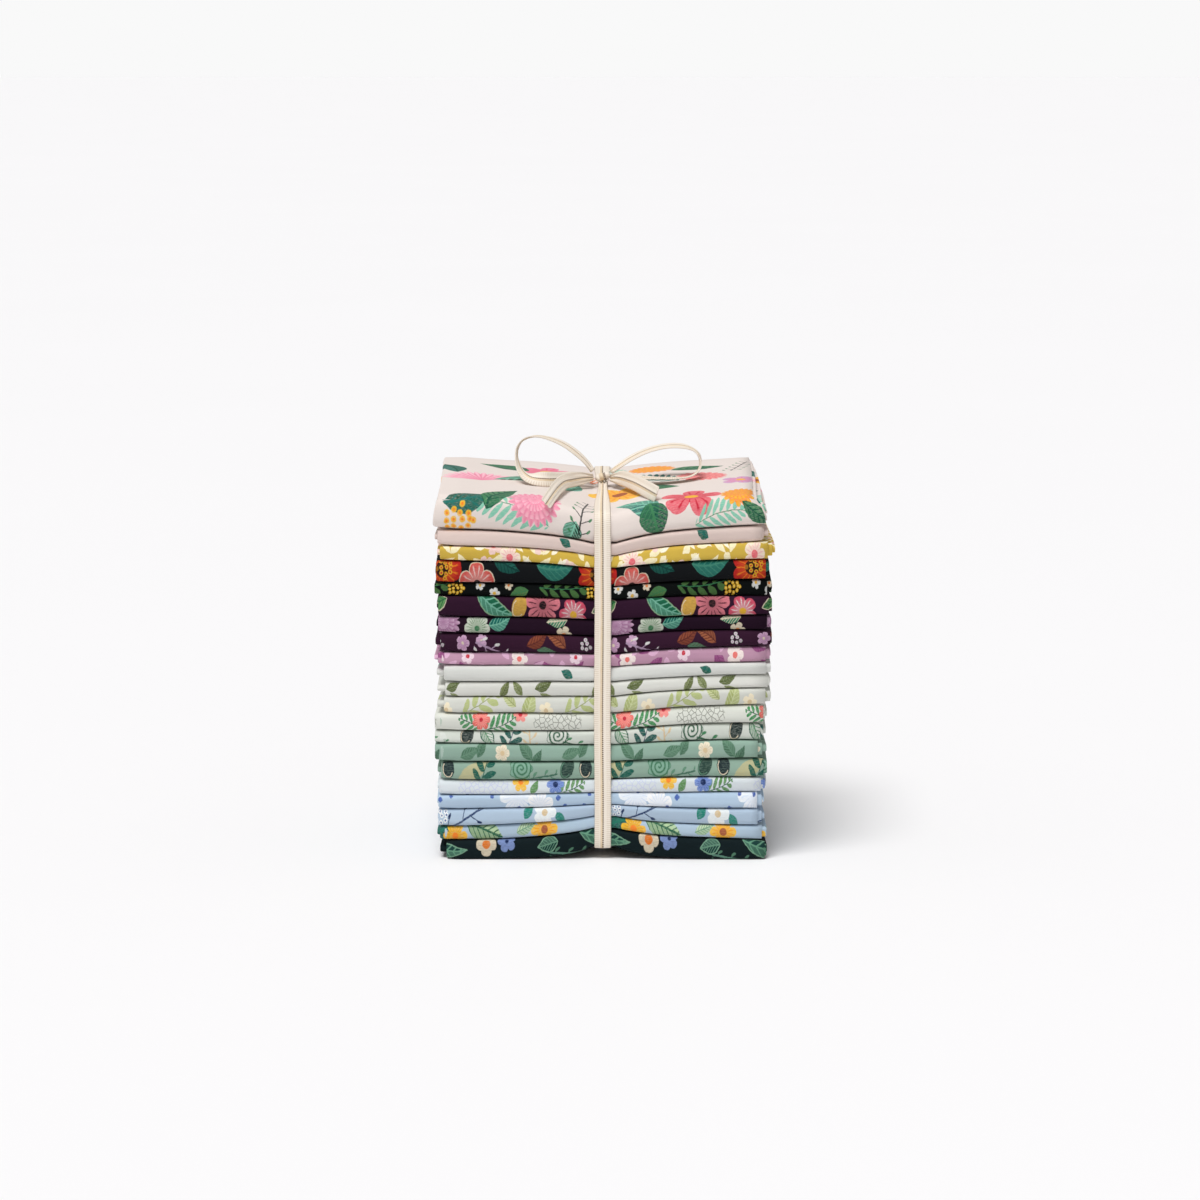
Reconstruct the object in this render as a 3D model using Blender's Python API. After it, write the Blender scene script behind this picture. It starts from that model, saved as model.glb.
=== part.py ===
"""A bundle of twenty-one fat quarters: folded cuts of quilting cotton, stacked and tied with a woven tape.

Lengths are in millimetres in the tables, and MM turns them into metres. The bundle stands on z = 0
with its folded noses towards -Y. Each fat quarter is one back-and-forth section of four leaves,
and each leaf is the four thicknesses of cloth that lie flat together there.
"""

import math
from collections import namedtuple

import bmesh
import bpy
import numpy as np

MM = 0.001

# The folded cuts
FRONT = -57.0
BACK = 57.0
SPACE = 0.3
LEAF_GAP = 0.35
NOSE_DEPTH = 0.40
SQUARENESS = 0.7
END_STEP = 1.5

# The pinch that the tape makes in the stack
TAPE_X = 0.6
FLAT_HALF = 5.0
PINCH_REACH = 25.0
HALF_LENGTH = 70.0
FRONT_AT_TAPE = -56.0
BACK_AT_TAPE = 56.0
STATIONS = (-44.0, -20.0, -FLAT_HALF, FLAT_HALF, 20.0, 44.0)

# The arch under the lowest cut, over the tape, which leaves both sides flat on the table
ARCH_HEIGHT = 5.1
ARCH_REACH = 11.0
ARCH_HALF = 44.0

# The loose cut on top: its surface falls towards the front, most of all at the tape
TOP_GAP = 1.5
TOP_FRONT_SIDE = 157.0
TOP_FRONT_TAPE = 148.5
TOP_BACK_SIDE = 160.0
TOP_BACK_TAPE = 156.2
TOP_TUCK_LEFT = 2.5
TOP_TUCK_RIGHT = 6.4
TUCK_AT_BACK = 0.5
TOP_RUN_STEPS = 4

# The tape
TAPE_WIDTH = 7.3
TAPE_THICKNESS = 1.0
TAPE_COLOUR = (236, 224, 206)
PATH_STEPS = 2
KNOT_CENTRE = (-0.2, -2.0, 158.3)
KNOT_HALF = (3.3, 4.0, 2.2)
KNOT_ROUNDNESS = 0.75
KNOT_SEGMENTS = 14
KNOT_RINGS = 8

# A tail hangs past the foremost fold and a leaf past the right end, so the bundle moves to centre its box
BUNDLE_PLACE = (-0.6, 1.5, 0.0)

Cut = namedtuple(
    "Cut", "name colour left right base_left base_tape base_right front back inner_left inner_right"
)

# From the top down: ground colour, where the cut ends at left and right, the height of its underside
# at the left end, at the tape and at the right end, how far its front and back lie inside the block,
# and how far its inner leaf stands out past the outer one at left and right.
CUTS = (
    Cut("01_pink_large_floral", (236, 222, 214), -71.7, 69.6, 142.1, 136.1, 143.8, 0.0, 0.6, 0.0, 0.8),
    Cut("02_pink_small_leaf", (233, 214, 206), -69.7, 68.0, 135.6, 131.0, 137.2, 0.5, 1.4, 1.2, 2.0),
    Cut("03_mustard_petals", (212, 180, 84), -68.7, 71.7, 128.9, 125.8, 129.5, 0.2, 0.0, 1.2, 1.2),
    Cut("04_black_fruit", (26, 32, 36), -70.4, 70.4, 119.5, 117.5, 121.0, 0.0, 1.0, 0.3, -0.6),
    Cut("05_black_sprig", (22, 24, 30), -71.1, 71.5, 114.0, 112.4, 113.9, 0.9, 0.3, -0.8, 0.2),
    Cut("06_plum_pods", (62, 34, 58), -69.6, 71.7, 104.9, 103.4, 105.8, 0.1, 1.8, 0.6, -0.4),
    Cut("07_plum_mauve_floral", (54, 30, 52), -69.6, 71.3, 98.0, 96.6, 99.6, 0.5, 0.4, 0.8, 0.2),
    Cut("08_plum_mixed_leaf", (60, 32, 62), -68.7, 71.7, 89.8, 88.8, 92.4, 0.0, 0.9, 2.2, -0.5),
    Cut("09_orchid_leaf", (188, 134, 168), -69.8, 70.9, 84.4, 83.4, 85.6, 0.8, 1.5, 1.6, 0.4),
    Cut("10_white_small_leaf", (226, 228, 222), -67.5, 71.3, 77.0, 77.0, 80.2, 0.2, 0.2, 2.8, -0.6),
    Cut("11_white_olive_sprig", (229, 231, 223), -67.5, 70.9, 70.6, 70.6, 74.4, 0.5, 1.1, 2.6, 0.4),
    Cut("12_white_olive_foliage", (229, 231, 223), -68.1, 71.3, 63.4, 63.4, 67.0, 0.2, 0.6, 2.2, 0.2),
    Cut("13_white_coral_fern", (229, 231, 226), -71.3, 69.0, 55.8, 55.7, 59.4, 0.1, 1.7, -0.8, 0.9),
    Cut("14_white_green_rose", (226, 229, 221), -71.3, 68.3, 50.3, 49.8, 51.8, 0.6, 0.5, -0.5, 1.2),
    Cut("15_sage_sprig", (152, 190, 172), -71.3, 67.9, 42.7, 42.5, 44.2, 0.0, 0.2, -0.9, 1.9),
    Cut("16_sage_rose", (154, 192, 174), -68.7, 70.0, 34.5, 34.7, 36.0, 0.2, 1.3, 1.6, -0.4),
    Cut("17_white_blue_fern", (226, 231, 240), -69.6, 69.2, 28.2, 29.0, 29.5, 0.4, 0.8, 0.8, 0.6),
    Cut("18_blue_white_cluster", (180, 203, 234), -70.0, 67.9, 22.0, 23.8, 22.1, 0.3, 0.0, 0.5, 1.0),
    Cut("19_blue_branch", (172, 199, 234), -70.0, 67.9, 14.5, 18.6, 14.7, 0.1, 1.2, 0.3, 1.2),
    Cut("20_blue_yellow_flower", (174, 200, 232), -69.4, 70.0, 8.1, 13.4, 8.6, 0.4, 0.7, 1.2, -0.3),
    Cut("21_navy_pod", (32, 52, 64), -66.6, 70.0, 0.0, 0.0, 0.0, 0.0, 0.3, 2.8, 0.3),
)

PathRow = namedtuple("PathRow", "x y z across_x across_y across_z width")

# The left loop rises from the knot, turns over at the left and comes back along the cloth, facing forwards
LEFT_LOOP = (
    PathRow(-4.0, -0.4, 160.4, 0.1, 0.9, 0.35, 4.2),
    PathRow(-7.0, 0.0, 164.0, 0.1, 0.85, 0.42, 6.6),
    PathRow(-11.2, 0.6, 168.3, 0.0, 0.88, 0.40, 7.3),
    PathRow(-16.6, 1.2, 172.0, 0.0, 0.94, 0.30, 7.3),
    PathRow(-23.2, 1.6, 174.9, 0.0, 0.97, 0.18, 7.3),
    PathRow(-29.8, 1.2, 176.0, 0.0, 1.0, 0.10, 7.3),
    PathRow(-35.2, -0.8, 174.0, 0.0, 1.0, 0.08, 7.3),
    PathRow(-38.0, -4.6, 169.6, 0.0, 1.0, 0.05, 7.3),
    PathRow(-37.8, -11.0, 165.2, -0.1, 1.0, 0.25, 7.3),
    PathRow(-35.2, -19.6, 161.8, -0.1, 0.8, 0.60, 7.3),
    PathRow(-30.6, -26.6, 160.4, 0.0, 0.6, 0.80, 7.3),
    PathRow(-25.0, -25.8, 160.2, 0.0, 0.5, 0.86, 7.3),
    PathRow(-19.5, -16.5, 160.1, 0.1, 0.45, 0.88, 7.3),
    PathRow(-13.0, -7.6, 160.2, 0.1, 0.35, 0.92, 6.6),
    PathRow(-8.0, -4.2, 159.7, 0.0, 0.3, 0.95, 4.6),
    PathRow(-4.0, -3.3, 158.6, 0.0, 0.3, 0.95, 2.2),
)

# The right loop stands a little lower and lies back on the cloth behind the tail
RIGHT_LOOP = (
    PathRow(3.8, -0.6, 160.0, 0.0, 0.90, 0.30, 4.2),
    PathRow(8.0, 0.8, 163.4, 0.0, 0.92, 0.34, 6.6),
    PathRow(13.0, 2.2, 166.9, 0.0, 0.92, 0.34, 7.3),
    PathRow(20.0, 3.2, 169.8, 0.0, 0.92, 0.34, 7.3),
    PathRow(28.0, 3.6, 171.5, 0.0, 0.92, 0.36, 7.3),
    PathRow(35.6, 3.0, 171.8, 0.0, 0.92, 0.36, 7.3),
    PathRow(40.6, 1.0, 169.4, 0.1, 0.97, 0.22, 7.3),
    PathRow(42.9, -2.4, 165.4, 0.1, 1.0, 0.08, 7.3),
    PathRow(42.2, -7.6, 161.8, 0.1, 1.0, 0.08, 7.3),
    PathRow(38.6, -13.0, 159.9, 0.2, 0.95, 0.20, 7.3),
    PathRow(32.4, -17.0, 159.2, 0.1, 0.95, 0.30, 7.3),
    PathRow(24.5, -16.6, 158.9, -0.2, 0.93, 0.30, 7.3),
    PathRow(16.5, -11.4, 158.7, -0.3, 0.90, 0.34, 7.3),
    PathRow(9.5, -5.4, 158.4, -0.2, 0.90, 0.36, 5.6),
    PathRow(3.9, -1.6, 157.5, 0.0, 0.90, 0.40, 2.2),
)

# The left tail runs out beside the knot, then turns forwards over the front of the top cut
LEFT_TAIL = (
    PathRow(-3.9, -5.2, 157.7, 0.0, 0.5, 0.86, 2.8),
    PathRow(-8.6, -12.4, 158.9, 0.0, 0.5, 0.86, 6.4),
    PathRow(-13.4, -20.0, 159.2, 0.0, 0.5, 0.86, 7.3),
    PathRow(-17.0, -28.0, 159.1, -0.25, 0.35, 0.85, 7.3),
    PathRow(-19.6, -38.0, 158.6, -0.5, 0.15, 0.80, 7.3),
    PathRow(-22.0, -48.0, 158.0, -0.62, 0.0, 0.75, 7.3),
    PathRow(-24.2, -59.6, 154.2, -0.65, 0.0, 0.72, 7.3),
)

# The right tail stands more on its edge and ends in a square cut
RIGHT_TAIL = (
    PathRow(3.5, -4.8, 158.0, 0.0, 0.6, 0.8, 3.2),
    PathRow(7.0, -10.4, 159.2, 0.0, 0.55, 0.84, 6.6),
    PathRow(11.0, -20.0, 159.4, -0.05, 0.5, 0.87, 7.3),
    PathRow(15.8, -32.0, 159.0, -0.1, 0.4, 0.91, 7.3),
    PathRow(22.8, -50.0, 157.5, -0.1, 0.25, 0.96, 7.3),
)


def clear_scene():
    for obj in list(bpy.data.objects):
        bpy.data.objects.remove(obj, do_unlink=True)


def linear(channel):
    value = channel / 255
    return value / 12.92 if value <= 0.04045 else ((value + 0.055) / 1.055) ** 2.4


def cloth_material(name, colour):
    material = bpy.data.materials.new(name)
    material.use_nodes = True
    shader = material.node_tree.nodes["Principled BSDF"]
    shader.inputs["Base Color"].default_value = (*[linear(c) for c in colour], 1.0)
    shader.inputs["Roughness"].default_value = 0.85
    shader.inputs["Metallic"].default_value = 0.0
    return material


def add_piece(name, mesh_data, material, parent):
    """The bmesh becomes an object named name, under the bundle's empty."""
    mesh = bpy.data.meshes.new(name)
    mesh_data.to_mesh(mesh)
    mesh_data.free()
    mesh.materials.append(material)
    obj = bpy.data.objects.new(name, mesh)
    bpy.context.scene.collection.objects.link(obj)
    obj.parent = parent
    return obj


def loft(sections, closed_ends=True):
    """A bmesh skinned through equal rings of points, with a cap on each end or joined end to end."""
    skin = bmesh.new()
    rings = [[skin.verts.new([c * MM for c in point]) for point in section] for section in sections]
    pairs = list(zip(rings, rings[1:]))
    if not closed_ends:
        pairs.append((rings[-1], rings[0]))
    for near, far in pairs:
        for i in range(len(near)):
            j = (i + 1) % len(near)
            skin.faces.new((near[i], near[j], far[j], far[i]))
    if closed_ends:
        skin.faces.new(reversed(rings[0]))
        skin.faces.new(rings[-1])
    bmesh.ops.recalc_face_normals(skin, faces=skin.faces)
    return skin


def rise(x, reach, half):
    """0 under the tape, growing to 1 at half millimetres from it."""
    away = max(0.0, abs(x - TAPE_X) - FLAT_HALF)
    full = 1 - math.exp(-(half - FLAT_HALF) / reach)
    return min(1.0, (1 - math.exp(-away / reach)) / full)


def pinched(x, left, tape, right):
    side = left if x < TAPE_X else right
    return tape + (side - tape) * rise(x, PINCH_REACH, HALF_LENGTH)


def underside(index, x):
    """The height of a cut's underside at x. The lowest cut lies on the table but for its arch."""
    cut = CUTS[index]
    if index == len(CUTS) - 1:
        return ARCH_HEIGHT * (1 - rise(x, ARCH_REACH, ARCH_HALF))
    return pinched(x, cut.base_left, cut.base_tape, cut.base_right)


def upper_side(index, x, y):
    """The height of a cut's upper side. Only the top cut's changes from front to back."""
    if index:
        return underside(index - 1, x) - SPACE
    front = pinched(x, TOP_FRONT_SIDE, TOP_FRONT_TAPE, TOP_FRONT_SIDE)
    back = pinched(x, TOP_BACK_SIDE, TOP_BACK_TAPE, TOP_BACK_SIDE)
    forward = min(1.0, max(0.0, (BACK - y) / (BACK - FRONT)))
    return back - (back - front) * forward**2


def arc(centre_y, middle, half_depth, half_height, steps, start, end):
    """Points of a squared half ellipse from start to end, in degrees, bulging towards -y."""
    points = []
    for step in range(steps + 1):
        angle = math.radians(start + (end - start) * step / steps)
        out = abs(math.cos(angle)) ** SQUARENESS
        up = abs(math.sin(angle)) ** SQUARENESS
        points.append((centre_y - half_depth * out, middle + math.copysign(half_height * up, angle)))
    return points


def run(start_y, end_y, height, steps):
    """Points along a flat stretch, without its two ends."""
    return [(start_y + (end_y - start_y) * k / steps, height) for k in range(1, steps)]


def folded_outline(height, gap, front, back, steps):
    """The outline of the four leaves, a strip folded in half and in half again.

    The outer leaf goes from its free end at the back along the bottom, round the nose and back along
    the top. There it folds under and comes forwards as the inner leaf, which turns inside the nose.
    Each point is (y, height, inner), where inner grows from 0 on the outer leaf to 1 on the inner one.
    """
    leaf = (height - 3 * gap) / 4
    middle = height / 2
    nose = NOSE_DEPTH * height
    inner_nose = nose - leaf / 2
    outer_turn = front + nose
    lining_turn = front + leaf + inner_nose
    inner_turn = front + leaf + gap + inner_nose
    inside_turn = front + 2 * leaf + 2 * gap
    fold = leaf + gap / 2
    fold_middle = height - fold
    outer_fold = back - fold
    inner_fold = back - leaf - gap
    inner_end = back - END_STEP

    outer = [(back, 0.0)]
    outer += run(back, outer_turn, 0.0, steps)
    outer += arc(outer_turn, middle, nose, middle, 6, -90, 90)
    outer += run(outer_turn, outer_fold, height, steps)
    turning_in = mirrored(arc(outer_fold, fold_middle, fold, fold, 4, 90, -90), outer_fold)
    inner = run(outer_fold, inside_turn, height - 2 * fold, steps)
    inner += arc(inside_turn, middle, gap, gap / 2, 2, 90, -90)
    inner += run(inside_turn, inner_end, middle - gap / 2, steps)
    inner += [(inner_end, middle - gap / 2), (inner_end, leaf + gap)]
    inner += run(inner_end, inner_turn, leaf + gap, steps)
    inner += arc(inner_turn, middle, inner_nose, middle - leaf - gap, 4, -90, 90)
    inner += run(inner_turn, inner_fold, height - leaf - gap, steps)
    turning_out = mirrored(arc(inner_fold, fold_middle, gap, gap / 2, 2, -90, 90), inner_fold)
    lining = run(inner_fold, lining_turn, height - leaf, steps)
    lining += arc(lining_turn, middle, inner_nose, middle - leaf, 4, 90, -90)
    lining += run(lining_turn, back, leaf, steps)
    lining += [(back, leaf)]

    outline = [(*point, 0.0) for point in outer]
    outline += [(*point, k / 4) for k, point in enumerate(turning_in)]
    outline += [(*point, 1.0) for point in inner]
    outline += [(*point, 1 - k / 2) for k, point in enumerate(turning_out)]
    outline += [(*point, 0.0) for point in lining]
    return outline


def mirrored(points, centre_y):
    """The points turned over, so that a bulge faces the back."""
    return [(2 * centre_y - y, z) for y, z in points]


def end_shift(index, x, y, share, inner):
    """How far a point of an end moves along x from where its cut ends, and 0 away from the ends.

    The inner leaf stands out past the outer one, and the top cut draws in towards its upper side.
    """
    cut = CUTS[index]
    if x not in (cut.left, cut.right):
        return 0.0
    left = x == cut.left
    out = inner * (cut.inner_left if left else cut.inner_right)
    if index == 0:
        forward = (BACK - y) / (BACK - FRONT)
        tuck = TOP_TUCK_LEFT if left else TOP_TUCK_RIGHT
        out -= tuck * share**2 * (TUCK_AT_BACK + (1 - TUCK_AT_BACK) * forward)
    return -out if left else out


def cut_section(index, x):
    """One ring of a cut's skin at x, squeezed flush with its neighbours under the tape."""
    cut = CUTS[index]
    away = rise(x, FLAT_HALF, HALF_LENGTH)
    front = FRONT_AT_TAPE + (FRONT + cut.front - FRONT_AT_TAPE) * away
    back = BACK_AT_TAPE + (BACK - cut.back - BACK_AT_TAPE) * away
    bottom = underside(index, x)
    height = upper_side(index, x, FRONT) - bottom
    gap = LEAF_GAP if index else TOP_GAP
    steps = 1 if index else TOP_RUN_STEPS
    section = []
    for y, level, inner in folded_outline(height, gap, front, back, steps):
        share = level / height
        top = upper_side(index, x, y)
        place = x + end_shift(index, x, y, share, inner)
        section.append((place, y, bottom + share * (top - bottom)))
    return section


def cut_sections(index):
    cut = CUTS[index]
    places = [cut.left, *[TAPE_X + offset for offset in STATIONS], cut.right]
    return [cut_section(index, x) for x in places]


def hull(points):
    """The convex outline of (y, z) points, counterclockwise."""
    points = sorted(set((round(y, 4), round(z, 4)) for y, z in points))
    sides = []
    for ordered in (points, points[::-1]):
        side = []
        for point in ordered:
            while len(side) > 1 and turn_of(side[-2], side[-1], point) <= 1e-3:
                side.pop()
            side.append(point)
        sides += side[:-1]
    return sides


def turn_of(a, b, c):
    return (b[0] - a[0]) * (c[1] - a[1]) - (b[1] - a[1]) * (c[0] - a[0])


def grown(outline, distance):
    """The outline with each corner moved out so that its sides lie distance away."""
    corners = np.array(outline)
    ahead = np.roll(corners, -1, axis=0) - corners
    ahead /= np.linalg.norm(ahead, axis=1, keepdims=True)
    behind = np.roll(ahead, 1, axis=0)
    normals = [np.stack([edge[:, 1], -edge[:, 0]], axis=1) for edge in (behind, ahead)]
    between = normals[0] + normals[1]
    return corners + 2 * distance * between / (between**2).sum(axis=1, keepdims=True)


def tape_band():
    """The tape drawn tight round the stack, a flat ring as wide as the tape."""
    stack = [point[1:] for index in range(len(CUTS)) for point in cut_section(index, TAPE_X)]
    tight = hull(stack)
    inside = grown(tight, SPACE)
    outside = grown(tight, SPACE + TAPE_THICKNESS)
    left = TAPE_X - TAPE_WIDTH / 2
    right = TAPE_X + TAPE_WIDTH / 2
    rings = [((left, *a), (right, *a), (right, *b), (left, *b)) for a, b in zip(inside, outside)]
    return loft(rings, closed_ends=False)


def smooth_rows(rows):
    """The rows of a path with PATH_STEPS points to a stretch, on a curve through all of them."""
    table = np.array(rows)
    padded = np.vstack([2 * table[0] - table[1], table, 2 * table[-1] - table[-2]])
    made = []
    for k in range(1, len(padded) - 2):
        before, near, far, after = padded[k - 1 : k + 3]
        slope = far - before
        bend = 2 * before - 5 * near + 4 * far - after
        twist = 3 * near - before - 3 * far + after
        for step in range(PATH_STEPS):
            t = step / PATH_STEPS
            made.append(near + 0.5 * (slope * t + bend * t**2 + twist * t**3))
    made.append(table[-1])
    return np.array(made)


def tape_strip(rows):
    """A length of tape along a path, turned so that its width follows the across columns."""
    path = smooth_rows(rows)
    places = path[:, :3]
    along = np.gradient(places, axis=0)
    along /= np.linalg.norm(along, axis=1, keepdims=True)
    sections = []
    for place, forward, row in zip(places, along, path):
        across = row[3:6] - forward * np.dot(row[3:6], forward)
        across *= row[6] / 2 / np.linalg.norm(across)
        lift = np.cross(forward, across)
        lift *= TAPE_THICKNESS / 2 / np.linalg.norm(lift)
        corners = (across + lift, across - lift, -across - lift, -across + lift)
        sections.append([place + corner for corner in corners])
    return loft(sections)


def knot():
    """The pulled-tight knot, a squared ball with a pole at each end of x."""
    skin = bmesh.new()
    bmesh.ops.create_uvsphere(skin, u_segments=KNOT_SEGMENTS, v_segments=KNOT_RINGS, radius=1.0)
    for vert in skin.verts:
        pole, side, up = vert.co.z, vert.co.x, vert.co.y
        shaped = [math.copysign(abs(c) ** KNOT_ROUNDNESS, c) for c in (pole, side, up)]
        vert.co = [(k + h * c) * MM for k, h, c in zip(KNOT_CENTRE, KNOT_HALF, shaped)]
    return skin


def build():
    clear_scene()
    bundle = bpy.data.objects.new("bundle", None)
    bundle.location = [c * MM for c in BUNDLE_PLACE]
    bpy.context.scene.collection.objects.link(bundle)
    for index, cut in enumerate(CUTS):
        material = cloth_material("cotton_" + cut.name, cut.colour)
        add_piece("fat_quarter_" + cut.name, loft(cut_sections(index)), material, bundle)
    tape = cloth_material("woven_tape", TAPE_COLOUR)
    pieces = {
        "tape_band": tape_band(),
        "tape_knot": knot(),
        "tape_loop_left": tape_strip(LEFT_LOOP),
        "tape_loop_right": tape_strip(RIGHT_LOOP),
        "tape_tail_left": tape_strip(LEFT_TAIL),
        "tape_tail_right": tape_strip(RIGHT_TAIL),
    }
    for name, skin in pieces.items():
        add_piece(name, skin, tape, bundle)


build()
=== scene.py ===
"""A bundle of twenty-one fat quarters of printed quilting cotton, tied with a woven tape.

Lengths are in millimetres in the tables. The folded noses face -Y, and the bundle stands on z = 0.
Each fat quarter is one sheet, 559 by 457 mm when it lies flat. It is folded in four along its length
and then in four again, which makes sixteen thicknesses.
"""

import math
from collections import namedtuple

import bpy
import numpy as np
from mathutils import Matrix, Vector

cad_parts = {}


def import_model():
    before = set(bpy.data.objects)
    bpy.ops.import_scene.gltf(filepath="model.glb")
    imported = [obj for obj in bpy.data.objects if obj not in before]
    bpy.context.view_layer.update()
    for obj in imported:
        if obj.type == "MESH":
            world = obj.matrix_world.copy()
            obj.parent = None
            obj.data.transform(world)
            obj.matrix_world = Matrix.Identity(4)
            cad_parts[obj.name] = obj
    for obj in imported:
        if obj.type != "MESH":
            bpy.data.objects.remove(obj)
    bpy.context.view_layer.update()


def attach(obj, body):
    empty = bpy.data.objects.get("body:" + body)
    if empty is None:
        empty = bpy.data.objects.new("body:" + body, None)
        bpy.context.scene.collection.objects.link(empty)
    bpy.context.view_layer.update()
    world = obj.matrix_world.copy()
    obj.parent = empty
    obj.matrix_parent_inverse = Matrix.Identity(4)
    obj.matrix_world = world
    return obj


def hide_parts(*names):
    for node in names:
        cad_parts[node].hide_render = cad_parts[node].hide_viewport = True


MM = 0.001
IN_MM = (1000.0, 1000.0, 0.0)

# The flat cut
FLAT_LENGTH = 559.0
FLAT_WIDTH = 457.0

# The folded stack
FRONT = -57.0
BACK = 57.0
SPACE = 0.3
LEAF_GAP = 0.35
NOSE_DEPTH = 0.40
NOSE_POWER = 4.2
NOSE_SPREAD = 1.2
TOP_NOSE_POWER = 2.9
LOWEST_NOSE_POWER = 7.0
END_STEP = 1.5
CLOTH_THICKNESS = 0.24

# The pinch that the tape makes in the stack
TAPE_X = 0.6
FLAT_HALF = 5.0
PINCH_REACH = 25.0
HALF_LENGTH = 70.0
FRONT_AT_TAPE = -56.0
BACK_AT_TAPE = 56.0

# The arch under the lowest cut, over the tape
ARCH_HEIGHT = 5.1
ARCH_REACH = 11.0
ARCH_HALF = 44.0

# The loose cut on top
TOP_GAP = 1.5
TOP_FRONT_SIDE = 157.0
TOP_FRONT_TAPE = 148.5
TOP_BACK_SIDE = 160.0
TOP_BACK_TAPE = 156.2
TOP_CORNER_LEFT = 2.1
TOP_CORNER_RIGHT = 1.3
CORNER_FROM = 42.0
CORNER_REACH = 28.0
TOP_TUCK_LEFT = 2.5
TOP_TUCK_RIGHT = 6.4
TUCK_AT_BACK = 0.5
TUCK_FROM = 44.0
TUCK_REACH = 26.0

# The crease at the left end of its front, which lies at a share of its height
CREASE_SHARE = 0.90
CREASE_HALF = 0.035
CREASE_IN = 1.1
CREASE_DOWN = 0.5

# How far the cloth wanders from straight
SLOW_WAVE = 0.22
QUICK_WAVE = 0.07
FRONT_WAVE = 0.35
END_WAVE = 0.7
END_ROUND = (5.0, 2.5)
END_DRAW_IN = (1.3, 0.7)
END_THIN = 0.10
END_PITCH = 0.42
EDGE_WAVE = 0.15

# The tape
TAPE_WIDTH = 7.1
TAPE_THICKNESS = 0.6
BAND_SPACE = 0.12
BAND_X = 0.05
BAND_STEP = 1.5
BAND_WAVE = 0.12
HELD_HALF = 4.0
ON_TOP = 100.0
KNOT_LIFT = 1.7
KNOT_GATHER = 0.42
GATHER_REACH = 26.0
KNOT_REACH = 5.0
PATH_STEPS = 6
TAPE_COLOUR = (251, 243, 232)
# The darker tone of the tape: its deeper yarns in the weave, and the painted shade laid on its left half
TAPE_DARK_YARN_AND_SHADE = (234, 222, 206)
GOLD_THREAD = (222, 194, 148)
BROWN_THREAD = (104, 78, 56)
RIB_SHADOW = (212, 194, 172)
RIB_PITCH = 0.55
YARN_PITCH = 0.42
ZIGZAG_WIDTH = 1.25
TICK_PITCH = 0.9
STITCH_PITCH = 0.85

# The cotton's weave
THREAD_PITCH = 0.40

BUNDLE_PLACE = (-0.6, 1.5, 0.0)

# The table and the light
TABLE_SIZE = 60.0
TABLE_COLOUR = (243, 242, 243)
TABLE_SHADE = (240, 239, 240)
DOME_LOW = 249
DOME_HIGH = 162
KEY_STRENGTH = 2.62
KEY_WIDTH = math.radians(31)
KEY_DIRECTION = (0.31, 0.56, -1.45)

Cut = namedtuple(
    "Cut", "name ground left right base_left base_tape base_right front back inner_left inner_right"
)

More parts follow.
